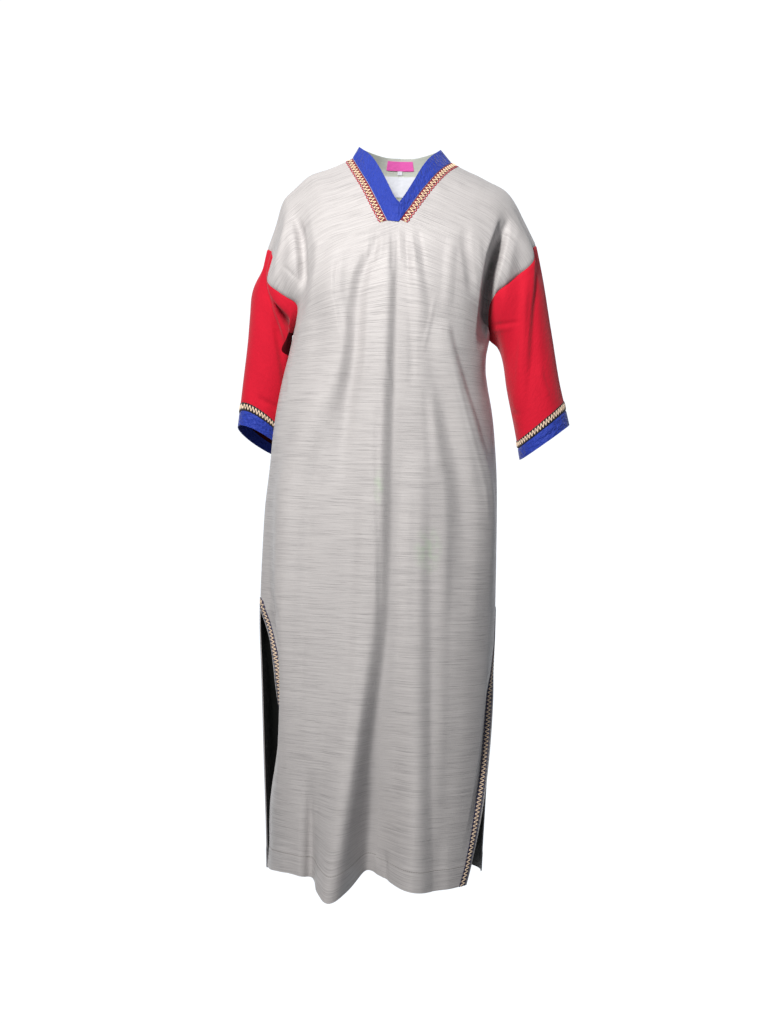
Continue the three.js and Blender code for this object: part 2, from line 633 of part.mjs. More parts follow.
function facingGrid() {
  const rows = facingLines().map((nodes, i) => {
    const narrow = Math.abs(i - (NECK_COLUMNS - 1)) / NECK_COLUMNS;
    const depth = FACING_DEPTH * (1 - narrow ** 2);
    const [top, middle, ...panel] = nodes;
    return [between(top, middle, 0.05), middle, panel[0],
      ...[0.35, 0.7, 1].map((t) => walk(panel, t * depth))];
  });
  return facedGrid(rows);
}

// A flat label on the facing: half its width either side of the middle, top and foot depths.
function labelGrid(halfWidth, top, foot) {
  const lines = facingLines();
  const middle = NECK_COLUMNS - 1;
  const spacing = lines[middle][0].p.distanceTo(lines[middle + 1][0].p);
  const at = (offset, depth) => {
    const place = middle + offset / spacing;
    const i = Math.floor(place);
    return between(walk(lines[i], depth), walk(lines[i + 1], depth), place - i);
  };
  const rows = [-1, 0, 1].map((k) => [top, (top + foot) / 2, foot].map((depth) => (
    at(k * halfWidth, depth))));
  return facedGrid(rows);
}

addWall('neck_facing', [facingGrid()], MATERIALS.facing, FACING_RISE, TRIM_WALL);
addWall('woven_label', [labelGrid(24, 4, 23)], MATERIALS.sizeLabel, LABEL_RISE, TRIM_WALL);
addWall('size_tab', [labelGrid(4, 23.8, 30.5)], MATERIALS.whiteLabel, LABEL_RISE, TRIM_WALL);
addWall('printed_label', [labelGrid(24, 34, 74)], MATERIALS.whiteLabel, LABEL_RISE, TRIM_WALL);

export default gandoura;
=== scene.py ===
"""The looks of a long gandoura of slubbed cloth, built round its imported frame.

Sizes are millimetres until a mesh is made, and metres from there on. +Z is up, the front
faces -Y and the wearer's left is +X. The shape tables are the construction's own, so each
piece of cloth lies on its solid, on a finer grid and with the small creases added.
"""
import math

import bpy
import numpy as np
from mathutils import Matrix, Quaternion, Vector


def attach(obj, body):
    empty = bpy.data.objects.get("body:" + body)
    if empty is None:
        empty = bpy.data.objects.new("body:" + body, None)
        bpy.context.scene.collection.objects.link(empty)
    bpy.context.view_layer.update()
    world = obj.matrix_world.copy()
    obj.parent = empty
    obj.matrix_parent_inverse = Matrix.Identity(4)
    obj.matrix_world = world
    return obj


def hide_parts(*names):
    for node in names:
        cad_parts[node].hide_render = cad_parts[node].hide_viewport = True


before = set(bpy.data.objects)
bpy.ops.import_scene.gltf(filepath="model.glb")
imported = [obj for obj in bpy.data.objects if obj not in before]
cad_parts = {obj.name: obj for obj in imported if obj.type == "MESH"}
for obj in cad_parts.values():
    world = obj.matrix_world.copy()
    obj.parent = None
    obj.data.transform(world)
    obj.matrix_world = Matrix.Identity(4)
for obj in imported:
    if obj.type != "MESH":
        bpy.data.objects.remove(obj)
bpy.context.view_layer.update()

MM = 0.001

# ---------------------------------------------------------------- driving sizes
CLOTH_WALL = 1.1
BAND_WALL = 1.8
TRIM_BACKING = 0.45

ARMPIT_DROP = 356  # drops are measured down from the tops of the shoulders
SLIT_TOP_DROP = 879
HEM_FRONT_DROP = 1366
HEM_BACK_DROP = 1376

UPPER_ROWS = 10  # the construction's rows: shoulder to armpit,
MIDDLE_ROWS = 9  # armpit to the top of the side slits,
SLIT_ROWS = 11  # top of the slits to the hem
CORNER_ROW = 5  # neckline row at the foot of each band
PANEL_COLUMNS = 14
NECK_COLUMNS = 4
FINE_UPPER, FINE_MIDDLE, FINE_SLIT = 8, 9, 8  # fine rows to each of them
FINE_PANEL, FINE_NECK = 6, 3  # fine columns to each of them
FINE_SLEEVE, FINE_CUFF = 12, 8
BAND_COLUMNS = 11  # across the neck band

SECTION_POWER = 0.85  # of the section's sine and cosine: 1 is an ellipse, and less is fuller
SHARE_POWER = 1.2  # sets the columns of a panel closer to its middle
SWING_POWER = 1.3

BRAID_WIDTH = 15
SLIT_RIM = 5  # cloth that shows between a slit's edge and its braid
NECK_RIM = 0.8  # the same, between a neck band and its braid
HEM_TURNING = 38
FACING_DEPTH = 62
SEAM_SHAPE_REACH = 0.32  # share of the sleeve that still has something of its seam's shape

# Easing of the bend where the shoulders meet the body: fine rows it reaches to either side,
# rounds of smoothing, their strength, and the part of the reach that has it in full. It fades
# out between two shares of the half section, so the side seam keeps its place.
EASE_ROWS, EASE_ROUNDS, EASE_STRENGTH, EASE_CORE = 16, 220, 0.5, 0.4
EASE_SIDE = (0.74, 0.94)

EVEN_ROUNDS = 90  # rounds of evening the normals, so that folds don't cross their neighbours
CREASE_POINTS = 25  # points that a crease's path is read at
CREASE_FADE = 0.3  # share of its length in which a crease fades in, and out again
WAVE_HEIGHT = 0.35
BAND_CALM = 0.25  # how much of the small creases the stiffer neck band takes up
POCKET_FACING = (-0.05, 0.2)  # how squarely cloth faces front before a pocket takes it along

# Sewn relief: how deep a line lies and its half width, or how proud the turned hem stands.
SLEEVE_SEAM = (1.1, 2.6)
SIDE_SEAM = (0.8, 3)
NECK_SEAM = (0.6, 3)
HEM_STEP, HEM_STEP_WIDTH = 0.7, 2


# ---------------------------------------------------------------- tables and distances
def table(names, rows):
    """A table to read with read_table: the names of its columns, and its rows."""
    return names.split(), np.array(rows, float)


def read_table(lookup, key):
    """Smooth reading of a table between its rows; the first column is the key."""
    names, rows = lookup
    keys = rows[:, 0]
    at = np.clip(key, keys[0], keys[-1])
    i = np.clip(np.searchsorted(keys, at, side="right") - 1, 0, len(keys) - 2)
    span = (keys[i + 1] - keys[i])[..., None]
    t = (at - keys[i])[..., None] / span
    numbers = np.arange(len(keys))
    before, after = rows[np.maximum(numbers - 1, 0)], rows[np.minimum(numbers + 1, numbers[-1])]
    slopes = (after - before) / (after[:, :1] - before[:, :1])
    ease = t * t * (3 - 2 * t)
    value = rows[i] + (rows[i + 1] - rows[i]) * ease
    value += t * (1 - t) * span * ((1 - t) * slopes[i] - t * slopes[i + 1])
    return {name: value[..., c] for c, name in enumerate(names) if c}


def smoothstep(value, low, high):
    t = np.clip((value - low) / (high - low), 0, 1)
    return t * t * (3 - 2 * t)


def distance_along(points):
    """Distance from the first point of a line to each of its points."""
    steps = np.linalg.norm(np.diff(points, axis=0), axis=1)
    return np.concatenate([[0], np.cumsum(steps)])


def along_rows(points):
    """Distance along each row of a grid."""
    steps = np.linalg.norm(np.diff(points, axis=1), axis=-1)
    return np.concatenate([np.zeros((len(points), 1)), np.cumsum(steps, axis=1)], axis=1)


def along_columns(points):
    return along_rows(points.transpose(1, 0, 2)).T


def curve_through(points):
    """A smooth curve through points, read at shares of its length."""
    points = np.array(points, float)
    along = distance_along(points)
    lookup = table("share x y z", np.column_stack([along / along[-1], points]))

    def at(shares):
        read = read_table(lookup, np.atleast_1d(np.asarray(shares, float)))
        return np.stack([read["x"], read["y"], read["z"]], axis=-1)

    return at


def read_grid(fields, row, column):
    """Grids of vectors, read at fractional rows and columns."""
    r = np.clip(row.astype(int), 0, fields[0].shape[0] - 2)
    c = np.clip(column.astype(int), 0, fields[0].shape[1] - 2)
    u, v = (row - r)[..., None], (column - c)[..., None]
    values = []
    for field in fields:
        top = field[r, c] * (1 - v) + field[r, c + 1] * v
        low = field[r + 1, c] * (1 - v) + field[r + 1, c + 1] * v
        values.append(top * (1 - u) + low * u)
    return values


# ---------------------------------------------------------------- shape tables
# Body below the armpits: half widths to the wearer's right and left, depths and side seam.
SECTION = table("drop right left front back side", [
    [356, 191, 181, -131, 115, 14],
    [400, 199, 175, -132, 119, 13],
    [445, 209, 181, -132, 122, 12],
    [490, 217, 190, -133, 125, 11],
    [540, 223, 197, -134, 127, 10],
    [615, 229, 204, -136, 130, 9],
    [700, 236, 207, -138, 133, 8],
    [865, 238, 210, -141, 137, 8],
    [1035, 230, 211, -146, 141, 8],
    [1235, 217, 208, -152, 146, 8],
    [1376, 209, 206, -158, 150, 8],
])

V_FOOT = [0, -97, -155]
BACK_NECK = [0, 80, -34]
BAND_NOTCH = [0.8, -92, -118]  # where the two neck bands cross
BAND_LAP = [3, -90.5, -115]  # top of the right band where it laps over the left one

# Points are x out from the middle, y and z, down each side of the garment.
SWING_COLUMNS = "drop inward forward from reach"
SIDES = {
    "right": {
        "sign": -1,
        "shoulder": [[90, 4, -21], [137, 6, -43], [171, 9, -55], [197, 12, -79],
            [219, 15, -103], [233, 18, -149], [248, 22, -195]],
        "neckline": [[90, 4, -21], [74, -26, -50], [55, -56, -84], [36, -80, -122],
            [20.5, -95, -152.5]],
        "back_neckline": [[0, 80, -34], [30, 73, -33], [56, 54, -28], [78, 30, -23], [90, 4, -21]],
        "band_edge": [[78, 2, 0], [56, -30, -21], [41, -48, -43], [29, -64, -66], [18, -78, -89],
            [8, -88, -109]],
        "band_back_edge": [[0, 66, -6], [26, 61, -6], [48, 45, -4], [68, 25, -1], [78, 2, 0]],
        "seam_front": [[248, 22, -195], [234, 2, -208], [239, -14, -258], [215, -34, -284],
            [188, -42, -308], [187, -16, -340], [191, 14, -356]],
        "seam_back": [[248, 22, -195], [246, 66, -212], [230, 98, -245], [208, 104, -292],
            [192, 72, -336], [191, 14, -356]],
        "sleeve": table("share outX outY outZ inX inY inZ depth", [
            [0, 248, 22, -195, 191, 14, -356, 62],
            [0.08, 253, 25, -221, 209, 26, -373, 56],
            [0.17, 259, 30, -250, 221, 58, -402, 48],
            [0.25, 264, 34, -275, 221, 78, -425, 43],
            [0.5, 272, 42, -361, 214, 100, -478, 42],
            [0.75, 283, 52, -446, 212, 112, -535, 40],
            [1, 291, 56, -531, 212, 122, -590, 40],
        ]),
        # How far the slit's edges swing in and forward, the share where each swing begins, and
        # how much of the quarter section the panel reaches.
        "slit_front": table(SWING_COLUMNS, [
            [879, 0, 0, 0.62, 1], [930, 20, 2, 0.64, 1], [976, 31, 4, 0.67, 1], [1030, 38, 8, 0.7, 1],
            [1100, 42, 12, 0.76, 1], [1235, 34, 18, 0.84, 1], [1376, 26, 24, 0.87, 1],
        ]),
        "slit_back": table(SWING_COLUMNS, [
            [879, 0, 0, 0.85, 1], [920, 0, 0, 0.85, 1], [990, 2, 9, 0.85, 1], [1376, 2, 13, 0.85, 1],
        ]),
    },
    "left": {
        "sign": 1,
        "shoulder": [[96, 4, -23], [130, 5, -38], [169, 6, -55], [200, 7, -71], [222, 8, -96],
            [240, 8, -128], [263, 8, -172]],
        "neckline": [[96, 4, -23], [80, -24, -38], [62, -48, -60], [40, -68, -91], [24, -82, -117],
            [10.4, -91, -138]],
        "back_neckline": [[0, 80, -34], [30, 73, -33], [58, 54, -29], [82, 30, -25], [96, 4, -23]],
        "band_edge": [[75, 2, 0], [54, -30, -22], [40, -48, -44], [27, -64, -70], [13, -80, -97],
            BAND_NOTCH],
        "band_back_edge": [[0, 66, -6], [26, 61, -6], [47, 45, -4], [66, 25, -1], [75, 2, 0]],
        "seam_front": [[263, 8, -172], [253, -16, -186], [251, -30, -210], [222, -50, -242],
            [188, -54, -276], [179, -32, -320], [181, 14, -356]],
        "seam_back": [[263, 8, -172], [258, 50, -190], [240, 78, -225], [212, 86, -275],
            [190, 62, -326], [181, 14, -356]],
        "sleeve": table("share outX outY outZ inX inY inZ depth", [
            [0, 263, 8, -172, 181, 14, -356, 62],
            [0.08, 269, 7, -197, 197, 11, -369, 60],
            [0.25, 281, 6, -250, 208, 10, -397, 56],
            [0.5, 297, 3, -335, 217, 5, -448, 53],
            [0.75, 315, 0, -425, 232, 0, -514, 51],
            [1, 337, -2, -511, 246, -2, -580, 50],
        ]),
        "slit_front": table(SWING_COLUMNS, [
            [879, 0, 0, 0.5, 1], [1000, 0, 0, 0.5, 0.94], [1130, 0, 0, 0.5, 0.86],
            [1250, 0, 0, 0.5, 0.73], [1376, 0, 0, 0.5, 0.56],
        ]),
        "slit_back": table(SWING_COLUMNS, [
            [879, 0, 0, 0.8, 1], [1376, 3, -18, 0.8, 1],
        ]),
    },
}

CENTRE_FRONT = [V_FOOT, [0, -112, -200], [0, -124, -260], [0, -130, -320], [0, -131, -356]]
CENTRE_BACK = [BACK_NECK, [0, 98, -110], [0, 110, -220], [0, 115, -356]]

# Folds: a crest line down the cloth, its reach to either side of x, and its height (or depth).
FOLD_COLUMNS = "drop x less more height"
FRONT_FOLDS = [
    # long ridge from the foot of the neck, which ends in the fold that stands out at the hem
    [[165, -15, 18, 12, 0], [230, -15, 40, 16, 7], [392, -17, 55, 20, 12], [573, -19, 62, 24, 15],
        [773, -20, 66, 28, 17], [917, -24, 66, 30, 18], [1131, -50, 58, 34, 24], [1366, -78, 36, 40, 36]],
    # hollow to its left, deepest at the hem
    [[850, 0, 28, 44, 0], [1000, -2, 34, 62, -10], [1131, -6, 40, 74, -26],
        [1250, -12, 44, 80, -46], [1366, -20, 46, 86, -64]],
    # crease to its right at the hem
    [[1150, -124, 18, 24, 0], [1240, -123, 20, 24, -9], [1366, -122, 18, 24, -16]],
    # ridge from the right breast out to the side slit
    [[192, -107, 25, 22, 0], [283, -112, 40, 24, 8], [398, -96, 50, 26, 7], [522, -142, 50, 40, 10],
        [634, -180, 40, 46, 12], [744, -188, 34, 50, 12], [879, -190, 30, 50, 12],
        [1000, -194, 26, 50, 10], [1130, -201, 20, 40, 8], [1300, -206, 16, 30, 4]],
    # hollow beside the long ridge
    [[186, -35, 14, 14, 0], [262, -65, 18, 18, -8], [397, -74, 20, 22, -9], [521, -86, 22, 24, -7],
        [640, -95, 24, 24, 0]],
    # gather from the left end of the neck's foot
    [[190, 26, 12, 12, 0], [240, 34, 16, 16, 6], [300, 42, 20, 20, 5], [400, 48, 24, 24, 0]],
    # sharp ridge out to the left hip, and the hollow inside it
    [[330, 90, 30, 16, 0], [363, 94, 40, 16, 6], [445, 119, 45, 18, 9], [540, 152, 45, 20, 9],
        [634, 182, 40, 18, 8], [734, 196, 34, 16, 6], [860, 200, 30, 16, 0]],
    [[400, 70, 24, 24, 0], [520, 104, 30, 24, -8], [634, 130, 34, 28, -9], [760, 140, 36, 30, -6],
        [900, 140, 36, 30, 0]],
    # soft ridge down the left of the skirt
    [[560, 50, 30, 22, 0], [700, 54, 34, 24, 5], [900, 60, 36, 26, 8], [1131, 66, 40, 30, 10],
        [1366, 74, 46, 34, 14]],
    # armhole folds
    [[110, 206, 22, 22, 0], [160, 200, 26, 24, -7], [210, 188, 28, 26, -11], [290, 178, 26, 24, -8],
        [345, 176, 22, 22, 0]],
    [[110, -190, 22, 22, 0], [166, -183, 24, 26, -8], [210, -175, 26, 28, -12],
        [260, -177, 26, 28, -11], [350, -186, 22, 22, 0]],
    # ridges down the upper arms, on to the sleeves
    [[100, 205, 16, 8, 0], [158, 237, 26, 9, 5], [190, 248, 28, 10, 7], [212, 252, 28, 10, 7],
        [330, 248, 26, 12, 6], [467, 241, 24, 14, 4], [540, 240, 20, 14, 0]],
    [[90, -214, 8, 16, 0], [160, -219, 9, 26, 5], [190, -227, 10, 28, 7], [247, -239, 10, 28, 7],
        [300, -226, 12, 28, 6], [372, -206, 14, 24, 3], [420, -204, 14, 20, 0]],
]
BACK_FOLDS = [
    [[300, -60, 40, 40, 0], [600, -78, 50, 50, 8], [1000, -88, 55, 50, 12], [1376, -98, 52, 46, 19]],
    [[260, 48, 40, 40, 0], [600, 60, 50, 46, 9], [1000, 66, 52, 52, 13], [1376, 74, 52, 50, 20]],
    [[400, -6, 40, 40, 0], [700, -8, 45, 45, -8], [1100, -10, 50, 50, -15], [1376, -12, 52, 52, -22]],
    [[520, 148, 26, 24, 0], [760, 154, 30, 26, -6], [1376, 146, 32, 28, -12]],
    [[560, -160, 24, 26, 0], [800, -166, 28, 30, -6], [1376, -158, 28, 30, -10]],
    [[120, 204, 12, 12, 0], [190, 192, 18, 16, -10], [300, 180, 16, 14, -8], [345, 178, 10, 10, 0]],
    [[130, -196, 12, 12, 0], [200, -184, 16, 18, -10], [310, -186, 14, 16, -8],
        [350, -188, 10, 10, 0]],
]
FOLD_FACING = [0.12, 0.55]  # how squarely cloth faces front or back before it folds fully

# The hem's own rise and fall, which fades out above it.
HEM_FADE = 220
FRONT_HEM = table("x rise", [
    [-215, 0], [-160, 12], [-112, 3], [-78, -22], [-52, -8], [-20, 20], [14, 12], [50, 0], [95, -4],
    [168, -1],
])
BACK_HEM = table("x rise", [[-210, 2], [-98, -8], [-12, 6], [74, -7], [206, 1]])

# Each front panel has a tuck beside its slit, which turns the slit's edge to the front. The
# tuck is given along the half section, the edge by how far out and forward it moves, and
# both by how much of them there is at each drop.
TUCK_COLUMNS, AMOUNT_COLUMNS = "share inward back", "drop tuck edge"
TUCKED_EDGE_START = 0.86  # share of the half section where the edge's own turn begins
EDGE_TUCKS = {
    "right": {
        "tuck": table(TUCK_COLUMNS, [
            [0.58, 0, 0], [0.66, 9, 1], [0.74, 27, 7], [0.82, 40, 13], [0.88, 38, 13],
            [0.93, 24, 8], [1, 0, 0],
        ]),
        "edge": (4, 20),
        "amount": table(AMOUNT_COLUMNS, [
            [560, 0, 0], [640, 0.12, 0], [720, 0.25, 0], [800, 0.4, 0], [860, 0.56, 0],
            [900, 0.74, 0.3], [940, 0.94, 0.8], [975, 1, 1], [1010, 0.97, 0.85], [1045, 0.85, 0.4],
            [1080, 0.7, 0.1], [1134, 0.48, 0], [1235, 0.16, 0], [1333, 0.08, 0], [1376, 0, 0],
        ]),
    },
    "left": {
        "tuck": table(TUCK_COLUMNS, [[0.8, 0, 0], [0.88, 7, 0], [0.93, 11, 0], [1, 0, 0]]),
        "edge": (1, 13),
        "amount": table(AMOUNT_COLUMNS, [
            [930, 0, 0], [985, 0.4, 0.4], [1030, 1, 1], [1200, 0.8, 0.8], [1330, 0, 0],
        ]),
    },
}

# Small creases: a path of (x, drop), its half width, its height (or depth).
FRONT_CREASES = [
    # pressed lines on the chest and beside the long ridge
    ([(93, 364), (118, 446), (147, 540), (177, 634), (190, 730)], 6, 1.5),
    ([(72, 284), (62, 343), (51, 398)], 5, 1.2),
    ([(-27, 430), (-25, 573), (-14, 773), (-6, 955)], 7, -2.0),
    ([(-19, 384), (-10, 427), (5, 481)], 6, 1.1),
    ([(-104, 194), (-109, 240), (-110, 285), (-99, 330), (-89, 390)], 7, -2.6),
    ([(-142, 181), (-147, 206), (-162, 240), (-170, 264)], 5, 1.2),
    # the deep folds in front of the arms
    ([(200, 124), (195, 153), (186, 184), (179, 208), (173, 250), (168, 300), (164, 350),
        (163, 384)], 15, -19),
    ([(203, 130), (199, 160), (191, 190)], 6, -2.5),
    ([(190, 134), (187, 156), (180, 184)], 5, -2),
    ([(-195, 134), (-183, 172), (-176, 215), (-173, 262), (-172, 290)], 12, -12),
    ([(-208, 118), (-214, 170), (-223, 222), (-230, 278)], 8, 2.5),
    ([(-216, 234), (-200, 246), (-184, 264)], 5, -1.3),
    # dimples inside the left shoulder
    ([(124, 148), (124, 186), (130, 219), (140, 295)], 14, -3.5),
    ([(103, 165), (97, 205), (95, 250), (93, 330)], 14, 2.2),
    ([(146, 170), (152, 215), (158, 262)], 9, 1.4),
    # gathers below the foot of the neck
    ([(-55, 172), (-54, 200), (-57, 240)], 5, 1.5),
    ([(-41, 164), (-40, 195), (-43, 250)], 5, -1.8),
    ([(-30, 164), (-29, 195), (-31, 235)], 5, 1.4),
    ([(-13, 163), (-10, 200), (-9, 262)], 5, -2.2),
    ([(0, 162), (3, 190), (8, 235)], 5, 1.5),
    ([(11, 164), (15, 195), (21, 255)], 5, -2.0),
    ([(24, 166), (28, 195), (36, 235)], 5, 1.6),
    ([(33, 160), (41, 190), (52, 240)], 6, -1.4),
    # hem
    ([(-126, 1170), (-123, 1268), (-119, 1450)], 9, -5),
    ([(-112, 1220), (-108, 1300), (-106, 1440)], 9, 2.5),
    ([(14, 1296), (18, 1340), (22, 1420)], 7, -2.4),
    ([(0, 1306), (3, 1345), (5, 1420)], 7, 1.6),
    ([(-170, 1290), (-172, 1330), (-172, 1430)], 14, 2),
    ([(110, 1240), (114, 1310), (118, 1460)], 18, -2),
    # faint upright undulations of the skirt
    ([(-60, 560), (-62, 760), (-66, 980), (-90, 1200)], 16, -1.8),
    ([(12, 520), (16, 700), (20, 900), (24, 1080)], 15, -1.6),
    ([(34, 600), (38, 800), (42, 1000)], 12, 1.4),
    ([(96, 620), (104, 820), (106, 1050), (108, 1260)], 18, 1.8),
    ([(-136, 560), (-150, 760), (-152, 980), (-148, 1180)], 16, -1.8),
    ([(-112, 420), (-116, 520), (-128, 640)], 12, 1.3),
    ([(-48, 300), (-50, 380), (-52, 470)], 9, 1.5),
    ([(60, 420), (66, 520), (80, 640)], 12, -1.5),
    ([(28, 300), (32, 380), (34, 470)], 10, -1.4),
    # pulls on the right slit side
    ([(-226, 840), (-208, 862), (-196, 900)], 9, -2.2),
    ([(-212, 905), (-203, 950), (-198, 1010)], 8, -2.5),
    # sleeves
    ([(-234, 289), (-223, 324), (-207, 361), (-189, 392)], 7, 2.6),
    ([(-231, 305), (-222, 362), (-211, 416), (-199, 490)], 11, -4),
    ([(-262, 470), (-250, 482), (-232, 490), (-214, 505)], 9, -2),
    ([(176, 331), (198, 329), (222, 326), (240, 323)], 5, -1.6),
    ([(178, 340), (200, 338), (224, 335)], 6, 1.0),
    ([(241, 226), (238, 340), (234, 472)], 9, 2.2),
    ([(254, 250), (258, 350), (266, 440)], 14, -1.8),
    ([(212, 470), (224, 490), (243, 500)], 9, -2),
    ([(270, 400), (280, 440), (296, 470)], 10, 1.8),
]
BACK_CREASES = [
    ([(-20, 60), (-30, 150), (-34, 260)], 14, -2),
    ([(30, 60), (38, 160), (40, 280)], 14, 1.8),
    ([(110, 90), (128, 160), (150, 240), (166, 300)], 12, -3),
    ([(-108, 90), (-126, 160), (-148, 240), (-164, 300)], 12, -3),
    ([(-196, 130), (-186, 190), (-182, 260)], 11, -5),
    ([(200, 130), (192, 190), (184, 260)], 11, -5),
    ([(-60, 420), (-64, 600), (-70, 800)], 15, 1.8),
    ([(96, 460), (104, 640), (108, 860)], 16, -2),
    ([(20, 560), (26, 760), (30, 1000)], 14, 1.6),
    ([(-120, 700), (-126, 900), (-130, 1180)], 15, -2.2),
    ([(112, 980), (116, 1180), (120, 1480)], 15, 2.4),
    ([(-150, 1240), (-152, 1310), (-154, 1440)], 13, -2.2),
    ([(34, 1240), (36, 1310), (36, 1440)], 12, -2.2),
    ([(-50, 1280), (-48, 1330), (-46, 1420)], 9, 1.8),
    ([(-236, 250), (-232, 330), (-224, 420)], 12, -3),
    ([(256, 250), (262, 340), (272, 430)], 12, -3),
    ([(-250, 470), (-240, 486), (-222, 500)], 9, -2),
    ([(262, 440), (280, 462), (300, 474)], 9, -2),
]

# A pocket of deep shadow, pushed straight back, between the body and the left sleeve.
POCKETS = [
    ([(196, 150), (186, 186), (179, 216), (172, 250), (168, 290), (166, 335), (168, 390)], 15, 34),
]


# ---------------------------------------------------------------- base surfaces
def coons_patch(top, foot, inner, outer, across, down):
    """The surface between four curves, at each pair of across and down from 0 to 1."""
    u, v = across[None, :, None], down[:, None, None]
    corners = [top(0), top(1), foot(0), foot(1)]
    surface = top(across)[None] * (1 - v) + foot(across)[None] * v
    surface = surface + inner(down)[:, None] * (1 - u) + outer(down)[:, None] * u
    weights = [(1 - u) * (1 - v), u * (1 - v), (1 - u) * v, u * v]
    return surface - sum(w * c[None] for w, c in zip(weights, corners))


def section_points(side_name, face, drops, shares):
    """Half sections of the body, from the middle out to the side seam."""
    section = read_table(SECTION, drops)
    swing = read_table(SIDES[side_name]["slit_" + face], drops)
    reach, start, inward, forward = (
        swing[name][:, None] for name in ("reach", "from", "inward", "forward"))
    angle = math.pi / 2 * reach * shares[None] ** SHARE_POWER
    out = np.maximum(np.sin(angle), 0) ** SECTION_POWER
    deep = np.maximum(np.cos(angle), 0) ** SECTION_POWER
    part = (np.maximum(shares[None] - start, 0) / (1 - start)) ** SWING_POWER
    x = section[side_name][:, None] * out - inward * part
    depth = (section[face] - section["side"])[:, None]
    y = section["side"][:, None] + depth * deep - forward * part
    if face == "front":
        tucks = EDGE_TUCKS[side_name]
        tuck, amount = read_table(tucks["tuck"], shares), read_table(tucks["amount"], drops)
        edge = smoothstep(shares, TUCKED_EDGE_START, 1)[None] * amount["edge"][:, None]
        x = x - tuck["inward"][None] * amount["tuck"][:, None] + tucks["edge"][0] * edge
        y = y + tuck["back"][None] * amount["tuck"][:, None] - tucks["edge"][1] * edge
    return np.stack([x, y, np.broadcast_to(-drops[:, None], x.shape)], axis=-1)


def front_inner_edge(side):
    """Down the neckline to its foot, then down the middle of the front."""
    neckline, centre = curve_through(side["neckline"]), curve_through(CENTRE_FRONT)
    corner, foot = CORNER_ROW / UPPER_ROWS, (CORNER_ROW + 1) / UPPER_ROWS

    def edge(down):
        down = np.atleast_1d(np.asarray(down, float))
        t = np.clip((down - corner) / (foot - corner), 0, 1)[:, None]
        across = neckline(1) * (1 - t) + centre(0) * t
        below = centre(np.clip((down - foot) / (1 - foot), 0, 1))
        along = neckline(np.clip(down / corner, 0, 1))
        down = down[:, None]
        return np.where(down <= corner + 1e-6, along, np.where(down <= foot + 1e-6, across, below))

    return edge


def back_top_edge(side):
    """Out along the back neckline, then along the shoulder."""
    neckline, shoulder = curve_through(side["back_neckline"]), curve_through(side["shoulder"])
    turn = NECK_COLUMNS / (NECK_COLUMNS + PANEL_COLUMNS)

    def edge(across):
        across = np.atleast_1d(np.asarray(across, float))
        out = shoulder(np.clip((across - turn) / (1 - turn), 0, 1))
        return np.where(across[:, None] <= turn, neckline(np.clip(across / turn, 0, 1)), out)

    return edge


def new_grid(points, sign, kind, flip, face=None):
    """A grid of points drawn for x out from the middle, turned to its own side."""
    points = points * np.array([sign, 1, 1])
    rows, columns = points.shape[:2]
    number = np.arange(rows * columns).reshape(rows, columns)
    quads = np.stack([number[:-1, :-1], number[:-1, 1:], number[1:, 1:], number[1:, :-1]], axis=-1)
    quads = quads.reshape(-1, 4)
    return {
        "p": points, "sign": sign, "kind": kind, "face": face,
        "quads": quads[:, ::-1] if flip else quads,
    }


def ease_row(points, row, across):
    """Rounds off the bend where the shoulders meet the body below, but not at the side seam."""
    rows = np.arange(len(points))
    down = 1 - smoothstep(np.abs(rows - row), EASE_CORE * EASE_ROWS, EASE_ROWS)
    side = 1 - smoothstep(across, *EASE_SIDE)
    weight = EASE_STRENGTH * down[:, None, None] * side[None, :, None]
    for _ in range(EASE_ROUNDS):
        middle = (points[:-2] + points[2:]) / 2
        points[1:-1] += weight[1:-1] * (middle - points[1:-1])


def panel_grid(side_name, face):
    """One half of the front or the back, from the shoulder to the hem."""
    side = SIDES[side_name]
    if face == "front":
        across = np.linspace(0, 1, PANEL_COLUMNS * FINE_PANEL + 1)
        edges = [curve_through(side["shoulder"]), front_inner_edge(side)]
        hem = HEM_FRONT_DROP
    else:
        turn = NECK_COLUMNS / (NECK_COLUMNS + PANEL_COLUMNS)
        across = np.concatenate([
            np.linspace(0, turn, NECK_COLUMNS * FINE_NECK, endpoint=False),
            np.linspace(turn, 1, PANEL_COLUMNS * FINE_PANEL + 1)])
        edges = [back_top_edge(side), curve_through(CENTRE_BACK)]
        hem = HEM_BACK_DROP

    def foot(shares):
        shares = np.atleast_1d(np.asarray(shares, float))
        return section_points(side_name, face, np.array([float(ARMPIT_DROP)]), shares)[0]

    down = np.linspace(0, 1, UPPER_ROWS * FINE_UPPER + 1)
    upper = coons_patch(edges[0], foot, edges[1], curve_through(side["seam_" + face]), across, down)
    drops = np.concatenate([
        np.linspace(ARMPIT_DROP, SLIT_TOP_DROP, MIDDLE_ROWS * FINE_MIDDLE + 1)[1:],
        np.linspace(SLIT_TOP_DROP, hem, SLIT_ROWS * FINE_SLIT + 1)[1:]])
    points = np.concatenate([upper, section_points(side_name, face, drops, across)])
    ease_row(points, len(upper) - 1, across)
    flip = (side["sign"] > 0) == (face == "front")
    return new_grid(points, side["sign"], "body", flip, face)


# Rings of the construction, as shares of the way from the armhole to the end of the cuff.
SLEEVE_SHARES = [0, 0.08, 0.17, 0.27, 0.38, 0.5, 0.62, 0.74, 0.87, 0.915]
CUFF_SHARES = [0.915, 0.957, 1]


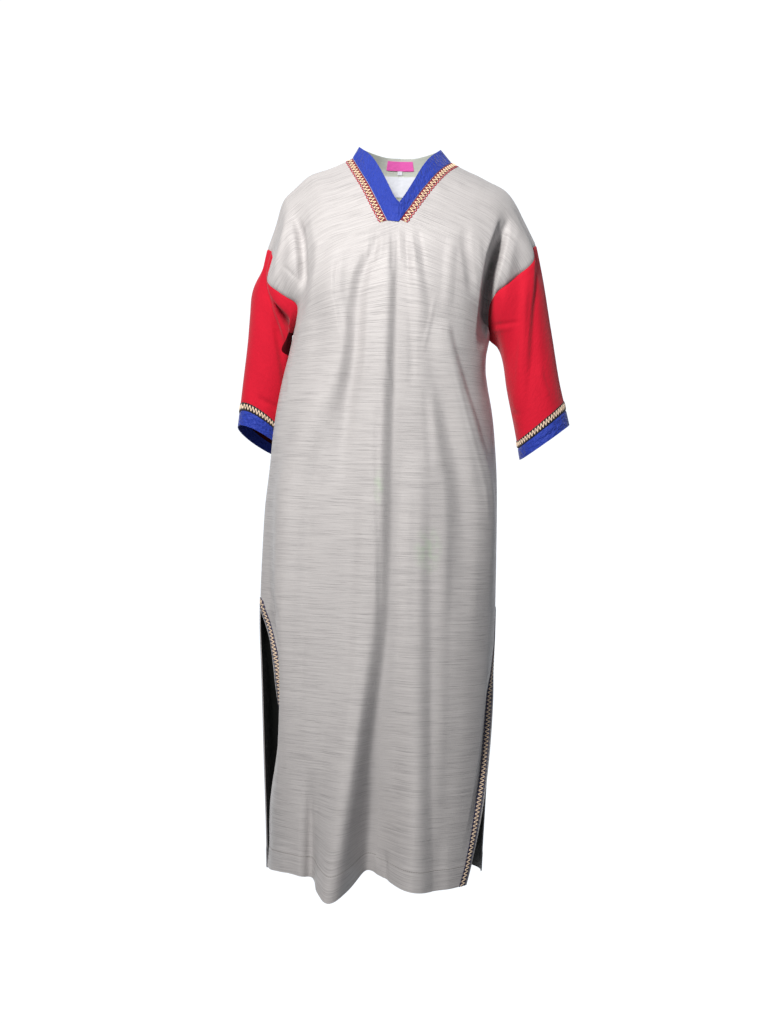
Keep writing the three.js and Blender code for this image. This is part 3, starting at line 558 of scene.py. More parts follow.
def ring_points(side, shares, angles):
    """Rings round the arm, from the outside over the front to the inside and the back."""
    read = read_table(side["sleeve"], shares)
    outer = np.stack([read["outX"], read["outY"], read["outZ"]], axis=-1)
    inner = np.stack([read["inX"], read["inY"], read["inZ"]], axis=-1)
    half = (outer - inner) / 2
    forward = np.stack([half[:, 1], -half[:, 0], 0 * half[:, 0]], axis=-1)
    forward /= np.linalg.norm(forward, axis=1)[:, None]
    deep = read["depth"][:, None, None] * np.sin(angles)[None, :, None]
    middle = ((outer + inner) / 2)[:, None]
    return middle + half[:, None] * np.cos(angles)[None, :, None] + forward[:, None] * deep


def sleeve_grid(side, shares, fine):
    """Rings from the sleeve seam down; the first ones take up the seam's own shape."""
    rings = np.arange((len(shares) - 1) * fine + 1) / fine
    shares = np.interp(rings, np.arange(len(shares)), shares)
    steps = UPPER_ROWS * FINE_UPPER
    turn = np.arange(2 * steps + 1) / steps
    front, back = curve_through(side["seam_front"]), curve_through(side["seam_back"])
    seam = np.where(turn[:, None] <= 1, front(np.clip(turn, 0, 1)), back(np.clip(2 - turn, 0, 1)))
    shift = seam - ring_points(side, np.zeros(1), math.pi * turn)[0]
    t = np.clip(shares / SEAM_SHAPE_REACH, 0, 1)
    keep = 1 - t * t * (3 - 2 * t)
    points = ring_points(side, shares, math.pi * turn) + keep[:, None, None] * shift[None]
    return new_grid(points, side["sign"], "sleeve", side["sign"] < 0)


def band_grid(side_name):
    """The neck band, which stands up from the neckline: along it, then across it."""
    side = SIDES[side_name]
    steps = CORNER_ROW * FINE_UPPER
    rows = np.arange(steps, -1, -1) / steps
    columns = np.arange(NECK_COLUMNS * FINE_NECK - 1, -1, -1) / (NECK_COLUMNS * FINE_NECK)
    outer = np.concatenate([front_inner_edge(side)(rows * CORNER_ROW / UPPER_ROWS),
                            curve_through(side["back_neckline"])(columns)])
    inner = np.concatenate([curve_through(side["band_edge"])(rows),
                            curve_through(side["band_back_edge"])(columns)])
    if side_name == "right":
        far = np.array(SIDES["left"]["neckline"][-1]) * [-1, 1, 1]
        notch = np.array(BAND_NOTCH) * [-1, 1, 1]
        share = np.linspace(0, 1, FINE_UPPER, endpoint=False)[:, None]
        feet = [far, np.array(V_FOOT, float), outer[0]]
        tops = [notch, np.array(BAND_LAP, float), inner[0]]
        for i in (1, 0):
            outer = np.concatenate([feet[i] * (1 - share) + feet[i + 1] * share, outer])
            inner = np.concatenate([tops[i] * (1 - share) + tops[i + 1] * share, inner])
    t = np.linspace(0, 1, BAND_COLUMNS)[None, :, None]
    points = outer[:, None] * (1 - t) + inner[:, None] * t
    return new_grid(points, side["sign"], "band", side["sign"] > 0)


panels = {
    name: {
        "front": panel_grid(name, "front"),
        "back": panel_grid(name, "back"),
        "sleeve": sleeve_grid(side, SLEEVE_SHARES, FINE_SLEEVE),
        "cuff": sleeve_grid(side, CUFF_SHARES, FINE_CUFF),
        "band": band_grid(name),
    }
    for name, side in SIDES.items()
}
all_grids = [grid for side in panels.values() for grid in side.values()]


# ---------------------------------------------------------------- folds and normals
def unit(vectors):
    """Vectors at length 1."""
    return vectors / np.maximum(np.linalg.norm(vectors, axis=-1, keepdims=True), 1e-12)


def number_places(grids):
    """One number for each place, shared by the pieces that meet there."""
    points = np.concatenate([grid["p"].reshape(-1, 3) for grid in grids])
    keys = np.rint(points * 1000).astype(np.int64)
    _, first, number = np.unique(keys, axis=0, return_index=True, return_inverse=True)
    number = number.ravel()
    start = 0
    for grid in grids:
        count = grid["p"].shape[0] * grid["p"].shape[1]
        grid["number"] = number[start:start + count]
        start += count
    return points[first]


def gather(quads, values, count):
    """The sum, at each place, of a value for each quad corner."""
    index = quads.T.ravel()
    tiled = np.tile(values, (4, 1))
    return np.stack([np.bincount(index, tiled[:, k], count) for k in range(values.shape[1])], -1)


def place_normals(grids, places, rounds=0):
    """Normals that share a seam equally between body, sleeve and band, then even out."""
    total = np.zeros_like(places)
    edges = []
    for kind in ("body", "sleeve", "band"):
        quads = np.concatenate([g["number"][g["quads"]] for g in grids if g["kind"] == kind])
        a, b, c, d = (places[quads[:, k]] for k in range(4))
        total += unit(gather(quads, unit(np.cross(c - a, d - b)), len(places)))
        edges += [quads[:, [k, (k + 1) % 4]] for k in range(4)]
    normals = unit(total)
    edges = np.concatenate(edges)
    for _ in range(rounds):
        spread = np.stack([
            np.bincount(edges[:, 0], normals[edges[:, 1], k], len(places))
            + np.bincount(edges[:, 1], normals[edges[:, 0], k], len(places)) for k in range(3)], -1)
        normals = unit(unit(spread) + normals)
    return normals


def fold_height(folds, places):
    """Height of the large folds: a bell to either side of each crest line."""
    total = np.zeros(len(places))
    drop = -places[:, 2]
    for rows in folds:
        near = (drop >= rows[0][0]) & (drop <= rows[-1][0] + HEM_FADE)
        fold = read_table(table(FOLD_COLUMNS, rows), drop[near])
        away = places[near, 0] - fold["x"]
        away = np.where(away < 0, -away / fold["less"], away / fold["more"])
        total[near] += fold["height"] * np.maximum(1 - away ** 2, 0) ** 2
    return total


def crease_height(creases, places):
    """Height of the small creases: a bell about a path that fades out at both its ends."""
    total = np.zeros(len(places))
    flat = np.column_stack([places[:, 0], -places[:, 2]])
    for path, width, height in creases:
        path = curve_through([(x, drop, 0) for x, drop in path])
        path = path(np.linspace(0, 1, CREASE_POINTS))[:, :2]
        near = np.all((flat > path.min(0) - width) & (flat < path.max(0) + width), axis=1)
        spot = flat[near][:, None]
        start, step = path[:-1][None], np.diff(path, axis=0)[None]
        t = np.clip(((spot - start) * step).sum(-1) / (step ** 2).sum(-1), 0, 1)
        gap = np.linalg.norm(spot - start - t[..., None] * step, axis=-1)
        nearest = gap.argmin(axis=1)
        pick = np.arange(len(nearest))
        share = (nearest + t[pick, nearest]) / (len(path) - 1)
        bell = np.maximum(1 - (gap[pick, nearest] / width) ** 2, 0) ** 2
        fade = smoothstep(share, 0, CREASE_FADE) * smoothstep(1 - share, 0, CREASE_FADE)
        total[near] += height * bell * fade
    return total


def waviness(places):
    """The slight unevenness of cloth that hangs free."""
    x, y, drop = places[:, 0], places[:, 1], -places[:, 2]
    waves = np.sin(x / 11 + drop / 160 + 1.3) * np.sin(drop / 85 + y / 50)
    waves += 0.7 * np.sin(x / 6.3 - drop / 95 + 0.4) * np.sin(drop / 47 + x / 60 + 2)
    return WAVE_HEIGHT * waves


def sunk_line(distance, line):
    """The hollow along a line of sewing."""
    depth, half_width = line
    return depth * np.exp(-(distance / half_width) ** 2)


def finish_heights(grid):
    """Sewn relief on one piece: seams lie a little low, the turned hem stands a little proud."""
    height = np.zeros(grid["p"].shape[:2])
    rows, columns = along_rows(grid["p"]), along_columns(grid["p"])
    if grid["kind"] == "body":
        upper, top = UPPER_ROWS * FINE_UPPER, UPPER_ROWS * FINE_UPPER + MIDDLE_ROWS * FINE_MIDDLE
        to_side = rows[:, -1:] - rows
        hem = columns[-1] - HEM_TURNING
        height[:upper + 1] -= sunk_line(to_side[:upper + 1], SLEEVE_SEAM)
        height[upper:top] -= sunk_line(to_side[upper:top], SIDE_SEAM)
        height -= sunk_line(columns, NECK_SEAM)
        height += HEM_STEP * smoothstep(columns, hem - HEM_STEP_WIDTH, hem)
    elif grid["kind"] == "sleeve":
        height -= sunk_line(columns, SLEEVE_SEAM)
    return height


def fold_cloth(grids):
    """Lays the folds, the hem's rise, the creases and the sewn relief on all pieces."""
    places = number_places(grids)
    normals = place_normals(grids, places, EVEN_ROUNDS)
    front = smoothstep(-normals[:, 1], *FOLD_FACING)
    back = smoothstep(normals[:, 1], *FOLD_FACING)
    height = front * fold_height(FRONT_FOLDS, places) + back * fold_height(BACK_FOLDS, places)
    folded = places + normals * height[:, None]
    fade = np.clip((HEM_FADE - (HEM_FRONT_DROP + places[:, 2])) / HEM_FADE, 0, 1) ** 2
    for face, hem in (("front", FRONT_HEM), ("back", BACK_HEM)):
        own = np.unique(np.concatenate([g["number"] for g in grids if g["face"] == face]))
        own = own[fade[own] > 0]
        folded[own, 2] += fade[own] * read_table(hem, places[own, 0])["rise"]
    normals = place_normals(grids, folded, 2)
    height = front * crease_height(FRONT_CREASES, folded)
    height += back * crease_height(BACK_CREASES, folded) + waviness(folded)
    band = np.concatenate([g["number"] for g in grids if g["kind"] == "band"])
    height[band] *= BAND_CALM
    relief = np.zeros(len(places))
    for grid in grids:
        own = finish_heights(grid).ravel()
        known = relief[grid["number"]]
        relief[grid["number"]] = np.where(np.abs(own) > np.abs(known), own, known)
    height += relief
    folded = folded + normals * height[:, None]
    folded[:, 1] += smoothstep(-normals[:, 1], *POCKET_FACING) * crease_height(POCKETS, folded)
    normals = place_normals(grids, folded, 1)
    for grid in grids:
        shape = grid["p"].shape
        grid["p"] = folded[grid["number"]].reshape(shape)
        grid["n"] = normals[grid["number"]].reshape(shape)
        across = along_rows(grid["p"])
        down = along_columns(grid["p"]).mean(axis=1, keepdims=True)
        grid["uv"] = np.stack(np.broadcast_arrays(grid["sign"] * across, down), -1)


fold_cloth(all_grids)


# ---------------------------------------------------------------- meshes
def make_object(name, points, faces, uv, material_numbers, surfaces, sharp=None):
    """A smooth-shaded mesh, in metres, that rides on the garment's one body."""
    mesh = bpy.data.meshes.new(name)
    mesh.from_pydata((points * MM).tolist(), [], faces)
    layer = mesh.uv_layers.new(name="cloth")
    layer.data.foreach_set("uv", np.asarray(uv * MM, np.float32).ravel())
    mesh.polygons.foreach_set("material_index", np.asarray(material_numbers, np.int32))
    mesh.polygons.foreach_set("use_smooth", np.ones(len(faces), bool))
    if sharp is not None:
        ends = np.zeros(len(mesh.edges) * 2, np.int32)
        mesh.edges.foreach_get("vertices", ends)
        low, high = np.sort(ends.reshape(-1, 2), axis=1).T
        flags = np.isin(low.astype(np.int64) * len(points) + high, sharp)
        mesh.attributes.new("sharp_edge", "BOOLEAN", "EDGE").data.foreach_set("value", flags)
    for surface in surfaces:
        mesh.materials.append(surface)
    mesh.update()
    obj = bpy.data.objects.new(name, mesh)
    bpy.context.scene.collection.objects.link(obj)
    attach(obj, "root")
    return obj


def shell(name, grids, surfaces, rise=0.0, thickness=CLOTH_WALL):
    """A closed thin wall on grids that share edges. Its outer face lies at rise above them."""
    numbers = np.concatenate([grid["number"] for grid in grids])
    used, local = np.unique(numbers, return_inverse=True)
    count = len(used)
    points, normals = np.zeros((count, 3)), np.zeros((count, 3))
    vertex_uv = np.zeros((count, 2))
    quads, corner_uv = [], []
    start = 0
    for grid in grids:
        own = local[start:start + len(grid["number"])]
        start += len(grid["number"])
        points[own] = grid["p"].reshape(-1, 3)
        normals[own] = grid["n"].reshape(-1, 3)
        uv = grid["uv"].reshape(-1, 2)
        vertex_uv[own] = uv
        quads.append(own[grid["quads"]])
        corner_uv.append(uv[grid["quads"]])
    quads, corner_uv = np.concatenate(quads), np.concatenate(corner_uv)
    edges = np.concatenate([quads[:, [k, (k + 1) % 4]] for k in range(4)]).astype(np.int64)
    codes = edges[:, 0] * count + edges[:, 1]
    rim = edges[~np.isin(codes, edges[:, 1] * count + edges[:, 0])]
    rim_quads = np.stack([rim[:, 1], rim[:, 0], rim[:, 0] + count, rim[:, 1] + count], axis=-1)
    both = np.concatenate([points + normals * rise, points + normals * (rise - thickness)])
    faces = np.concatenate([quads, quads[:, ::-1] + count, rim_quads])
    rim_uv = vertex_uv[rim_quads % count]
    uv = np.concatenate([corner_uv, corner_uv[:, ::-1], rim_uv]).reshape(-1, 2)
    slots = np.concatenate([np.zeros(len(quads)), np.ones(len(quads)), np.zeros(len(rim_quads))])
    low, high = np.sort(rim, axis=1).T
    sharp = np.concatenate([low * 2 * count + high, (low + count) * 2 * count + high + count])
    return make_object(name, both, faces.tolist(), uv, slots, surfaces, sharp)


class Ribbon:
    """A strip of cloth surface, read by distance along it and distance across it."""

    def __init__(self, points, normals):
        self.points, self.normals = np.array(points), np.array(normals)
        self.along = distance_along(self.points[:, self.points.shape[1] // 2])
        self.length = self.along[-1]
        self.width = float(np.median(along_rows(self.points)[:, -1]))

    def at(self, s, d):
        """Places and normals at distances s along and d across."""
        row = np.interp(s, self.along, np.arange(len(self.along)))
        column = np.clip(np.asarray(d) / self.width, 0, 1) * (self.points.shape[1] - 1)
        place, normal = read_grid((self.points, self.normals), row, column)
        return place, unit(normal)


class Joined:
    """Small pieces gathered into one mesh."""

    def __init__(self):
        self.points, self.faces, self.uv, self.slots = [], [], [], []
        self.count = 0

    def add(self, rings, uv, slot, closed=True):
        """Skins a row of rings; uv has a value for each of their points."""
        steps, sides = rings.shape[:2]
        number = self.count + np.arange(steps * sides).reshape(steps, sides)
        following = np.roll(number, -1, axis=1)
        quads = np.stack([number[:-1], following[:-1], following[1:], number[1:]], -1).reshape(-1, 4)
        flat = uv.reshape(-1, 2)
        self.points.append(rings.reshape(-1, 3))
        self.faces += quads.tolist()
        self.uv.append(flat[quads - self.count].reshape(-1, 2))
        self.slots += [slot] * len(quads)
        if closed:
            for ring in (number[0][::-1], number[-1]):
                self.faces.append(ring.tolist())
                self.uv.append(flat[ring - self.count])
                self.slots.append(slot)
        self.count += steps * sides

    def make(self, name, surfaces):
        return make_object(name, np.concatenate(self.points), self.faces,
                           np.concatenate(self.uv), self.slots, surfaces)


def add_cord(joined, ribbon, s, d, half_width, height, lift, slot, sides=6):
    """A rounded cord laid on a ribbon along the path (s, d)."""
    points, normals = ribbon.at(s, d)
    along = unit(np.gradient(points, axis=0))
    beside = unit(np.cross(normals, along))
    angles = np.arange(sides) * 2 * math.pi / sides
    wide = beside[:, None] * (half_width * np.cos(angles))[None, :, None]
    high = normals[:, None] * (height * np.sin(angles) + lift)[None, :, None]
    rings = points[:, None] + wide + high
    length = distance_along(points)[:, None]
    uv = np.stack(np.broadcast_arrays(length, (angles * half_width)[None]), -1)
    joined.add(rings, uv, slot)


def add_strip(joined, ribbon, s, low, high, lift, thickness, slot, across=7):
    """A flat strip on a ribbon from distance low to distance high across it."""
    share = np.linspace(0, 1, across)
    d, distance = np.broadcast_arrays(low * (1 - share) + high * share, s[:, None])
    points, normals = ribbon.at(distance, d)
    top, under = points + normals * (lift + thickness), points + normals * lift
    rings = np.concatenate([top, under[:, ::-1]], axis=1)
    uv = np.stack([np.concatenate([distance, distance], 1), np.concatenate([d, d[:, ::-1]], 1)], -1)
    along, wide = np.diff(points, axis=0)[:, :-1], np.diff(points, axis=1)[:-1]
    if (np.cross(normals[:-1, :-1], wide) * along).sum() < 0:
        rings, uv = rings[:, ::-1], uv[:, ::-1]
    joined.add(rings, uv, slot)


# ---------------------------------------------------------------- ribbons on the cloth
RIBBON_POINTS = 9
TURN_NODES = 4  # nodes over which the back's spacing is measured, where the neck braid turns
BACK_ROWS = 30  # fine rows of the back, more than the neck braid covers
FOOT_ROWS = {"right": 0, "left": FINE_UPPER - 2}  # how far below the band's foot a braid starts


def walk(points, normals, distances):
    """Places and normals at distances along a line of nodes."""
    along = distance_along(points)
    place, normal = (
        np.stack([np.interp(distances, along, field[:, k]) for k in range(3)], -1)
        for field in (points, normals))
    return place, unit(normal)


def ribbon_through(stations):
    return Ribbon([place for place, _ in stations], [normal for _, normal in stations])


def neck_ribbon(side_name):
    """Beside the neckline: from the foot of the band, over the shoulder, to the middle back."""
    front, back = panels[side_name]["front"], panels[side_name]["back"]
    distances = NECK_RIM + np.linspace(0, BRAID_WIDTH, RIBBON_POINTS)
    foot = CORNER_ROW * FINE_UPPER + FOOT_ROWS[side_name]
    stations = [walk(front["p"][r], front["n"][r], distances) for r in range(foot, -1, -1)]
    corner = NECK_COLUMNS * FINE_NECK
    start = back["p"][0, corner]
    across_step = np.linalg.norm(back["p"][0, corner + TURN_NODES] - start) / TURN_NODES
    down_step = np.linalg.norm(back["p"][TURN_NODES, corner] - start) / TURN_NODES
    for turn in np.radians([15, 30, 45, 60, 75]):
        place, normal = read_grid(
            (back["p"], back["n"]), distances * math.sin(turn) / down_step,
            corner + distances * math.cos(turn) / across_step)
        stations.append((place, unit(normal)))
    for c in range(corner, -1, -1):
        stations.append(walk(back["p"][:BACK_ROWS, c], back["n"][:BACK_ROWS, c], distances))
    return ribbon_through(stations)


def slit_ribbon(side_name):
    """Round a side slit: up the front edge, over the top, down the back edge."""
    front, back = panels[side_name]["front"], panels[side_name]["back"]
    top = UPPER_ROWS * FINE_UPPER + MIDDLE_ROWS * FINE_MIDDLE
    last = top + SLIT_ROWS * FINE_SLIT
    row_step = (SLIT_TOP_DROP - ARMPIT_DROP) / (MIDDLE_ROWS * FINE_MIDDLE)
    distances = SLIT_RIM + np.linspace(0, BRAID_WIDTH, RIBBON_POINTS)

    def edge_walk(grid, row, distance):
        r = min(int(row), last - 1)
        points = grid["p"][r] * (1 - row + r) + grid["p"][r + 1] * (row - r)
        normals = grid["n"][r] * (1 - row + r) + grid["n"][r + 1] * (row - r)
        return walk(points[::-1], normals[::-1], distance)

    stations = [edge_walk(front, r, distances) for r in range(last, top, -1)]
    for turn in np.radians(np.linspace(0, 180, 19)):
        grid = front if turn <= math.pi / 2 else back
        spots = [edge_walk(grid, top - d * math.sin(turn) / row_step, abs(d * math.cos(turn)))
                 for d in distances]
        stations.append((np.array([p for p, _ in spots]), np.array([n for _, n in spots])))
    stations += [edge_walk(back, r, distances) for r in range(top + 1, last + 1)]
    return ribbon_through(stations)


def cuff_ribbon(side_name):
    """Round the foot of the sleeve, just above the cuff."""
    sleeve = panels[side_name]["sleeve"]
    rows = slice(len(sleeve["p"]) - 1 - FINE_SLEEVE, None)
    return Ribbon(sleeve["p"][rows].transpose(1, 0, 2), sleeve["n"][rows].transpose(1, 0, 2))


# ---------------------------------------------------------------- surfaces
def linear(red, green, blue):
    """A colour given in screen values from 0 to 255."""
    return tuple((v / 255 / 12.92 if v <= 10 else ((v / 255 + 0.055) / 1.055) ** 2.4)
                 for v in (red, green, blue)) + (1,)


class Surface:
    """A node material about one Principled shader."""

    def __init__(self, name, colour, roughness, **settings):
        self.name = name
        self.material = bpy.data.materials.new(name)
        self.material.use_nodes = True
        self.tree = self.material.node_tree
        self.shader = self.tree.nodes["Principled BSDF"]
        self.shader.inputs["Base Color"].default_value = colour
        self.shader.inputs["Roughness"].default_value = roughness
        for socket, value in settings.items():
            self.shader.inputs[socket.replace("_", " ")].default_value = value
        self.coordinates = self.tree.nodes.new("ShaderNodeTexCoord")

    def node(self, kind, **settings):
        node = self.tree.nodes.new("ShaderNode" + kind)
        for name, value in settings.items():
            setattr(node, name, value)
        return node

    def link(self, source, target):
        self.tree.links.new(source, target)

    def noise(self, scale, detail=2.0, roughness=0.5):
        """Noise whose repeats to the metre differ along and across the threads."""
        mapping = self.node("Mapping")
        mapping.inputs["Scale"].default_value = scale
        texture = self.node("TexNoise")
        texture.inputs["Scale"].default_value = 1
        texture.inputs["Detail"].default_value = detail
        texture.inputs["Roughness"].default_value = roughness
        self.link(self.coordinates.outputs["UV"], mapping.inputs["Vector"])
        self.link(mapping.outputs["Vector"], texture.inputs["Vector"])
        return texture.outputs["Fac"]

    def spread(self, value, low, high, to_low=0.0, to_high=1.0):
        node = self.node("MapRange")
        settings = (low, high, to_low, to_high)
        for name, number in zip(("From Min", "From Max", "To Min", "To Max"), settings):
            node.inputs[name].default_value = number
        self.link(value, node.inputs["Value"])
        return node.outputs["Result"]

    def math(self, operation, first, second):
        node = self.node("Math", operation=operation)
        for value, socket in zip((first, second), node.inputs):
            if isinstance(value, (int, float)):
                socket.default_value = value
            else:
                self.link(value, socket)
        return node.outputs["Value"]

    def mix(self, factor, first, second):
        node = self.node("Mix", data_type="RGBA")
        self.link(factor, node.inputs["Factor"])
        for value, socket in ((first, node.inputs[6]), (second, node.inputs[7])):
            if isinstance(value, tuple):
                socket.default_value = value
            else:
                self.link(value, socket)
        return node.outputs[2]

    def blend(self, *terms):
        """The sum of values, each of them with its weight."""
        total = None
        for value, weight in terms:
            part = self.math("MULTIPLY", value, weight)
            total = part if total is None else self.math("ADD", total, part)
        return total

    def colour(self, value):
        self.link(value, self.shader.inputs["Base Color"])

    def recolour(self, factor, second):
        """Mixes a second colour over the one that is there."""
        self.colour(self.mix(factor, self.shader.inputs["Base Color"].links[0].from_socket, second))

    def place(self):
        """The x, y and z of a spot on the garment, in metres."""
        separate = self.node("SeparateXYZ")
        self.link(self.coordinates.outputs["Object"], separate.inputs["Vector"])
        return [separate.outputs[k] for k in range(3)]

    def roughness(self, value):
        self.link(value, self.shader.inputs["Roughness"])

    def bump(self, height, distance, strength=1.0):
        node = self.node("Bump")
        node.inputs["Strength"].default_value = strength
        node.inputs["Distance"].default_value = distance
        self.link(height, node.inputs["Height"])
        self.link(node.outputs["Normal"], self.shader.inputs["Normal"])


THREAD_STRETCH = 14  # length of a mark along its thread, to its width
STAINS = (  # x, z, half width and half height of each mark, in metres
    (-0.019, -0.637, 0.010, 0.034),
    (0.074, -0.752, 0.026, 0.042),
)
STAIN_STRENGTH = 0.22
# The inside's painted shade: between these heights it darkens to near black.
SHADE_TOP, SHADE_FOOT = -0.20, -0.42  # heights between which the inside darkens, in metres


def slub_surface(name, light, dark, contrast=1.0):
    """Shantung: fine crosswise threads with long, uneven, darker slubs."""
    s = Surface(name, light, 0.55, Sheen_Weight=0.15, Sheen_Roughness=0.4, Specular_IOR_Level=0.35)
    fine = s.spread(s.noise((9, 1250, 1), 2, 0.55), 0.42, 0.70)
    streak = s.spread(s.noise((13, 800, 1), 3, 0.6), 0.52, 0.68)
    slub = s.spread(s.noise((16, 520, 1), 2, 0.5), 0.62, 0.74)
    weft = s.noise((120, 2100, 1), 1)
    warp = s.noise((1500, 40, 1), 1)
    tone = s.noise((9, 9, 1), 2)
    amount = s.blend(
        (fine, 0.30 * contrast), (streak, 0.28 * contrast), (slub, 0.26 * contrast),
        (weft, 0.10 * contrast), (tone, 0.08))
    s.colour(s.mix(amount, light, dark))
    s.roughness(s.spread(slub, 0, 1, 0.5, 0.62))
    s.bump(s.blend((streak, 0.5), (slub, 0.4), (fine, 0.5), (weft, 0.5), (warp, 0.25)), 0.00035, 0.8)
    return s


def woven_surface(name, light, dark, roughness, grain=1200, sheen=0.3, specular=0.15, drag_weight=2.4):
    """Plain closely woven cloth: its threads to the metre, and the weight of its drag lines."""
    s = Surface(name, light, roughness, Sheen_Weight=sheen, Sheen_Roughness=0.5,
                Specular_IOR_Level=specular)
    weft = s.noise((grain / THREAD_STRETCH, grain, 1), 1)
    warp = s.noise((grain, grain / THREAD_STRETCH, 1), 1)
    tone = s.noise((22, 22, 1), 3)
    drag = s.noise((130, 150, 1), 3)
    s.colour(s.mix(s.blend((weft, 0.3), (tone, 0.4)), light, dark))
    s.bump(s.blend((weft, 0.4), (warp, 0.4), (drag, drag_weight)), 0.0004, 0.8)
    return s


def thread_surface(name, light, dark, roughness=0.55):
    """Twisted thread: fine slanting ridges along each cord."""
    s = Surface(name, light, roughness, Sheen_Weight=0.2, Specular_IOR_Level=0.4)
    wave = s.node("TexWave", wave_type="BANDS", bands_direction="DIAGONAL")
    wave.inputs["Scale"].default_value = 380
    wave.inputs["Distortion"].default_value = 0.6
    s.link(s.coordinates.outputs["UV"], wave.inputs["Vector"])
    fleck = s.noise((500, 500, 1), 2)
    amount = s.math("MULTIPLY", s.math("ADD", wave.outputs["Fac"], fleck), 0.45)
    s.colour(s.mix(amount, light, dark))
    s.bump(wave.outputs["Fac"], 0.00025, 0.8)
    return s


def cloth_with_stain():
    """The outer cloth, with two faint greenish marks on the front of the skirt."""
    s = slub_surface("slub_cloth", linear(200, 197, 197), linear(98, 95, 99))
    x, y, z = s.place()
    front = s.spread(y, -0.02, -0.06)
    total = None
    for centre_x, centre_z, half_width, half_height in STAINS:
        across = s.math("DIVIDE", s.math("SUBTRACT", x, centre_x), half_width)
        down = s.math("DIVIDE", s.math("SUBTRACT", z, centre_z), half_height)
        square = s.math("ADD", s.math("MULTIPLY", across, across), s.math("MULTIPLY", down, down))
        spot = s.spread(square, 1.3, 0.0)
        total = spot if total is None else s.math("MAXIMUM", total, spot)
    patchy = s.math("MULTIPLY", s.spread(s.noise((70, 70, 1), 2), 0.35, 0.65), STAIN_STRENGTH)
    s.recolour(s.math("MULTIPLY", s.math("MULTIPLY", total, front), patchy), linear(168, 214, 158))
    return s


def inside_with_painted_shade():
    """The inside: grey-green near the neck, with painted shade to near black down the skirt."""
    s = slub_surface("slub_cloth_inside_painted_shade", linear(186, 190, 182), linear(120, 124, 118), 0.6)
    # painted shade: the inside turns near black from SHADE_TOP down to SHADE_FOOT
    s.recolour(s.spread(s.place()[2], SHADE_TOP, SHADE_FOOT), linear(34, 38, 37))
    return s


made = [
    cloth_with_stain(),
    inside_with_painted_shade(),
    slub_surface("facing_cloth", linear(196, 202, 194), linear(140, 146, 140), 0.5),
    woven_surface("red_cloth", linear(212, 23, 50), linear(166, 12, 36), 0.8, sheen=0.12),
    # The sleeves' inside: the same red cloth, darkened as painted shade.
    woven_surface("red_cloth_painted_shade", linear(90, 8, 20), linear(60, 5, 14), 0.85, sheen=0),
    woven_surface("blue_cloth", linear(36, 64, 176), linear(22, 38, 124), 0.6,
                  grain=1000, sheen=0.15, specular=0.25, drag_weight=16),
    woven_surface("pink_label", linear(236, 106, 190), linear(216, 78, 166), 0.5, grain=2600),
    woven_surface("white_label", linear(226, 230, 240), linear(206, 210, 222), 0.5, grain=2400),
    thread_surface("gold_thread", linear(255, 238, 204), linear(240, 206, 160)),
    thread_surface("crimson_thread", linear(196, 22, 52), linear(150, 12, 36)),
    thread_surface("wine_thread", linear(124, 26, 44), linear(74, 14, 30)),
    thread_surface("navy_thread", linear(40, 36, 84), linear(18, 16, 46)),
    thread_surface("cream_thread", linear(252, 232, 206), linear(222, 190, 158)),
    thread_surface("black_thread", linear(34, 26, 32), linear(16, 12, 18)),
    thread_surface("grey_thread", linear(150, 144, 140), linear(104, 100, 98)),
]
surfaces = {surface.name: surface.material for surface in made}


def looks(*names):
    """The materials of one piece, in the order of their numbers."""
    return [surfaces[name] for name in names]


# ---------------------------------------------------------------- cloth pieces
LAP_RISE, LAP_REACH = 1.5, 2.5  # the right band rises over the left one, and reaches past it
LAP_ROWS = 2 * FINE_UPPER + 9
CUFF_RISE = 0.3
BAND_RISE = {"right": 1.0, "left": 0.5}
BACK_OF_NECK, FACING_UP = 0.02, 0.75  # where the band's top edge shows the facing's cloth

lap = panels["right"]["band"]
lap_rise = LAP_RISE * np.linspace(1, 0, LAP_ROWS)[:, None, None]
lap["p"][:LAP_ROWS] += lap["n"][:LAP_ROWS] * lap_rise
lap["p"][0] += unit(lap["p"][0] - lap["p"][1]) * LAP_REACH

pieces = {}
for face in ("front", "back"):
    halves = [panels["right"][face], panels["left"][face]]
    pieces[face] = shell(face + "_cloth", halves, looks("slub_cloth", "slub_cloth_inside_painted_shade"))
for side_name, side in panels.items():
    pieces["sleeve_" + side_name] = shell(
        f"sleeve_{side_name}_cloth", [side["sleeve"]], looks("red_cloth", "red_cloth_painted_shade"))
    pieces["cuff_" + side_name] = shell(
        f"cuff_{side_name}_cloth", [side["cuff"]], looks("blue_cloth", "blue_cloth"),
        CUFF_RISE, BAND_WALL)
    neck_band = shell(
        f"neck_band_{side_name}_cloth", [side["band"]], looks("blue_cloth", "facing_cloth"),
        BAND_RISE[side_name], BAND_WALL)
    for face in neck_band.data.polygons:
        if face.center.y > BACK_OF_NECK and face.normal.z > FACING_UP:
            face.material_index = 1
    pieces["neck_band_" + side_name] = neck_band

# ---------------------------------------------------------------- braids
NECK_PERIOD, CUFF_PERIOD, SLIT_PERIOD = 8.0, 6.6, 7.3
STEPS_TO_A_PERIOD = 10
BACKING_LIFT = 0.1
SHARPNESS = 0.96  # of a zigzag's points: 1 is a true corner
ROUNDNESS = 0.8  # of a scallop: 1 is a sine, and less is fuller
INWARDS, OUTWARDS = 0.25, 0.75  # phases that set a scallop round each point of the zigzag


def zigzag(low, high):
    def path(turns):
        wave = np.arcsin(SHARPNESS * np.sin(2 * math.pi * turns)) / math.asin(SHARPNESS)
        return (low + high) / 2 + (high - low) / 2 * wave

    return path


def scallop(edge, bulge, phase):
    return lambda turns: edge + bulge * np.abs(np.sin(math.pi * (turns + phase))) ** ROUNDNESS


def straight(place):
    return lambda turns: np.full(len(turns), place)


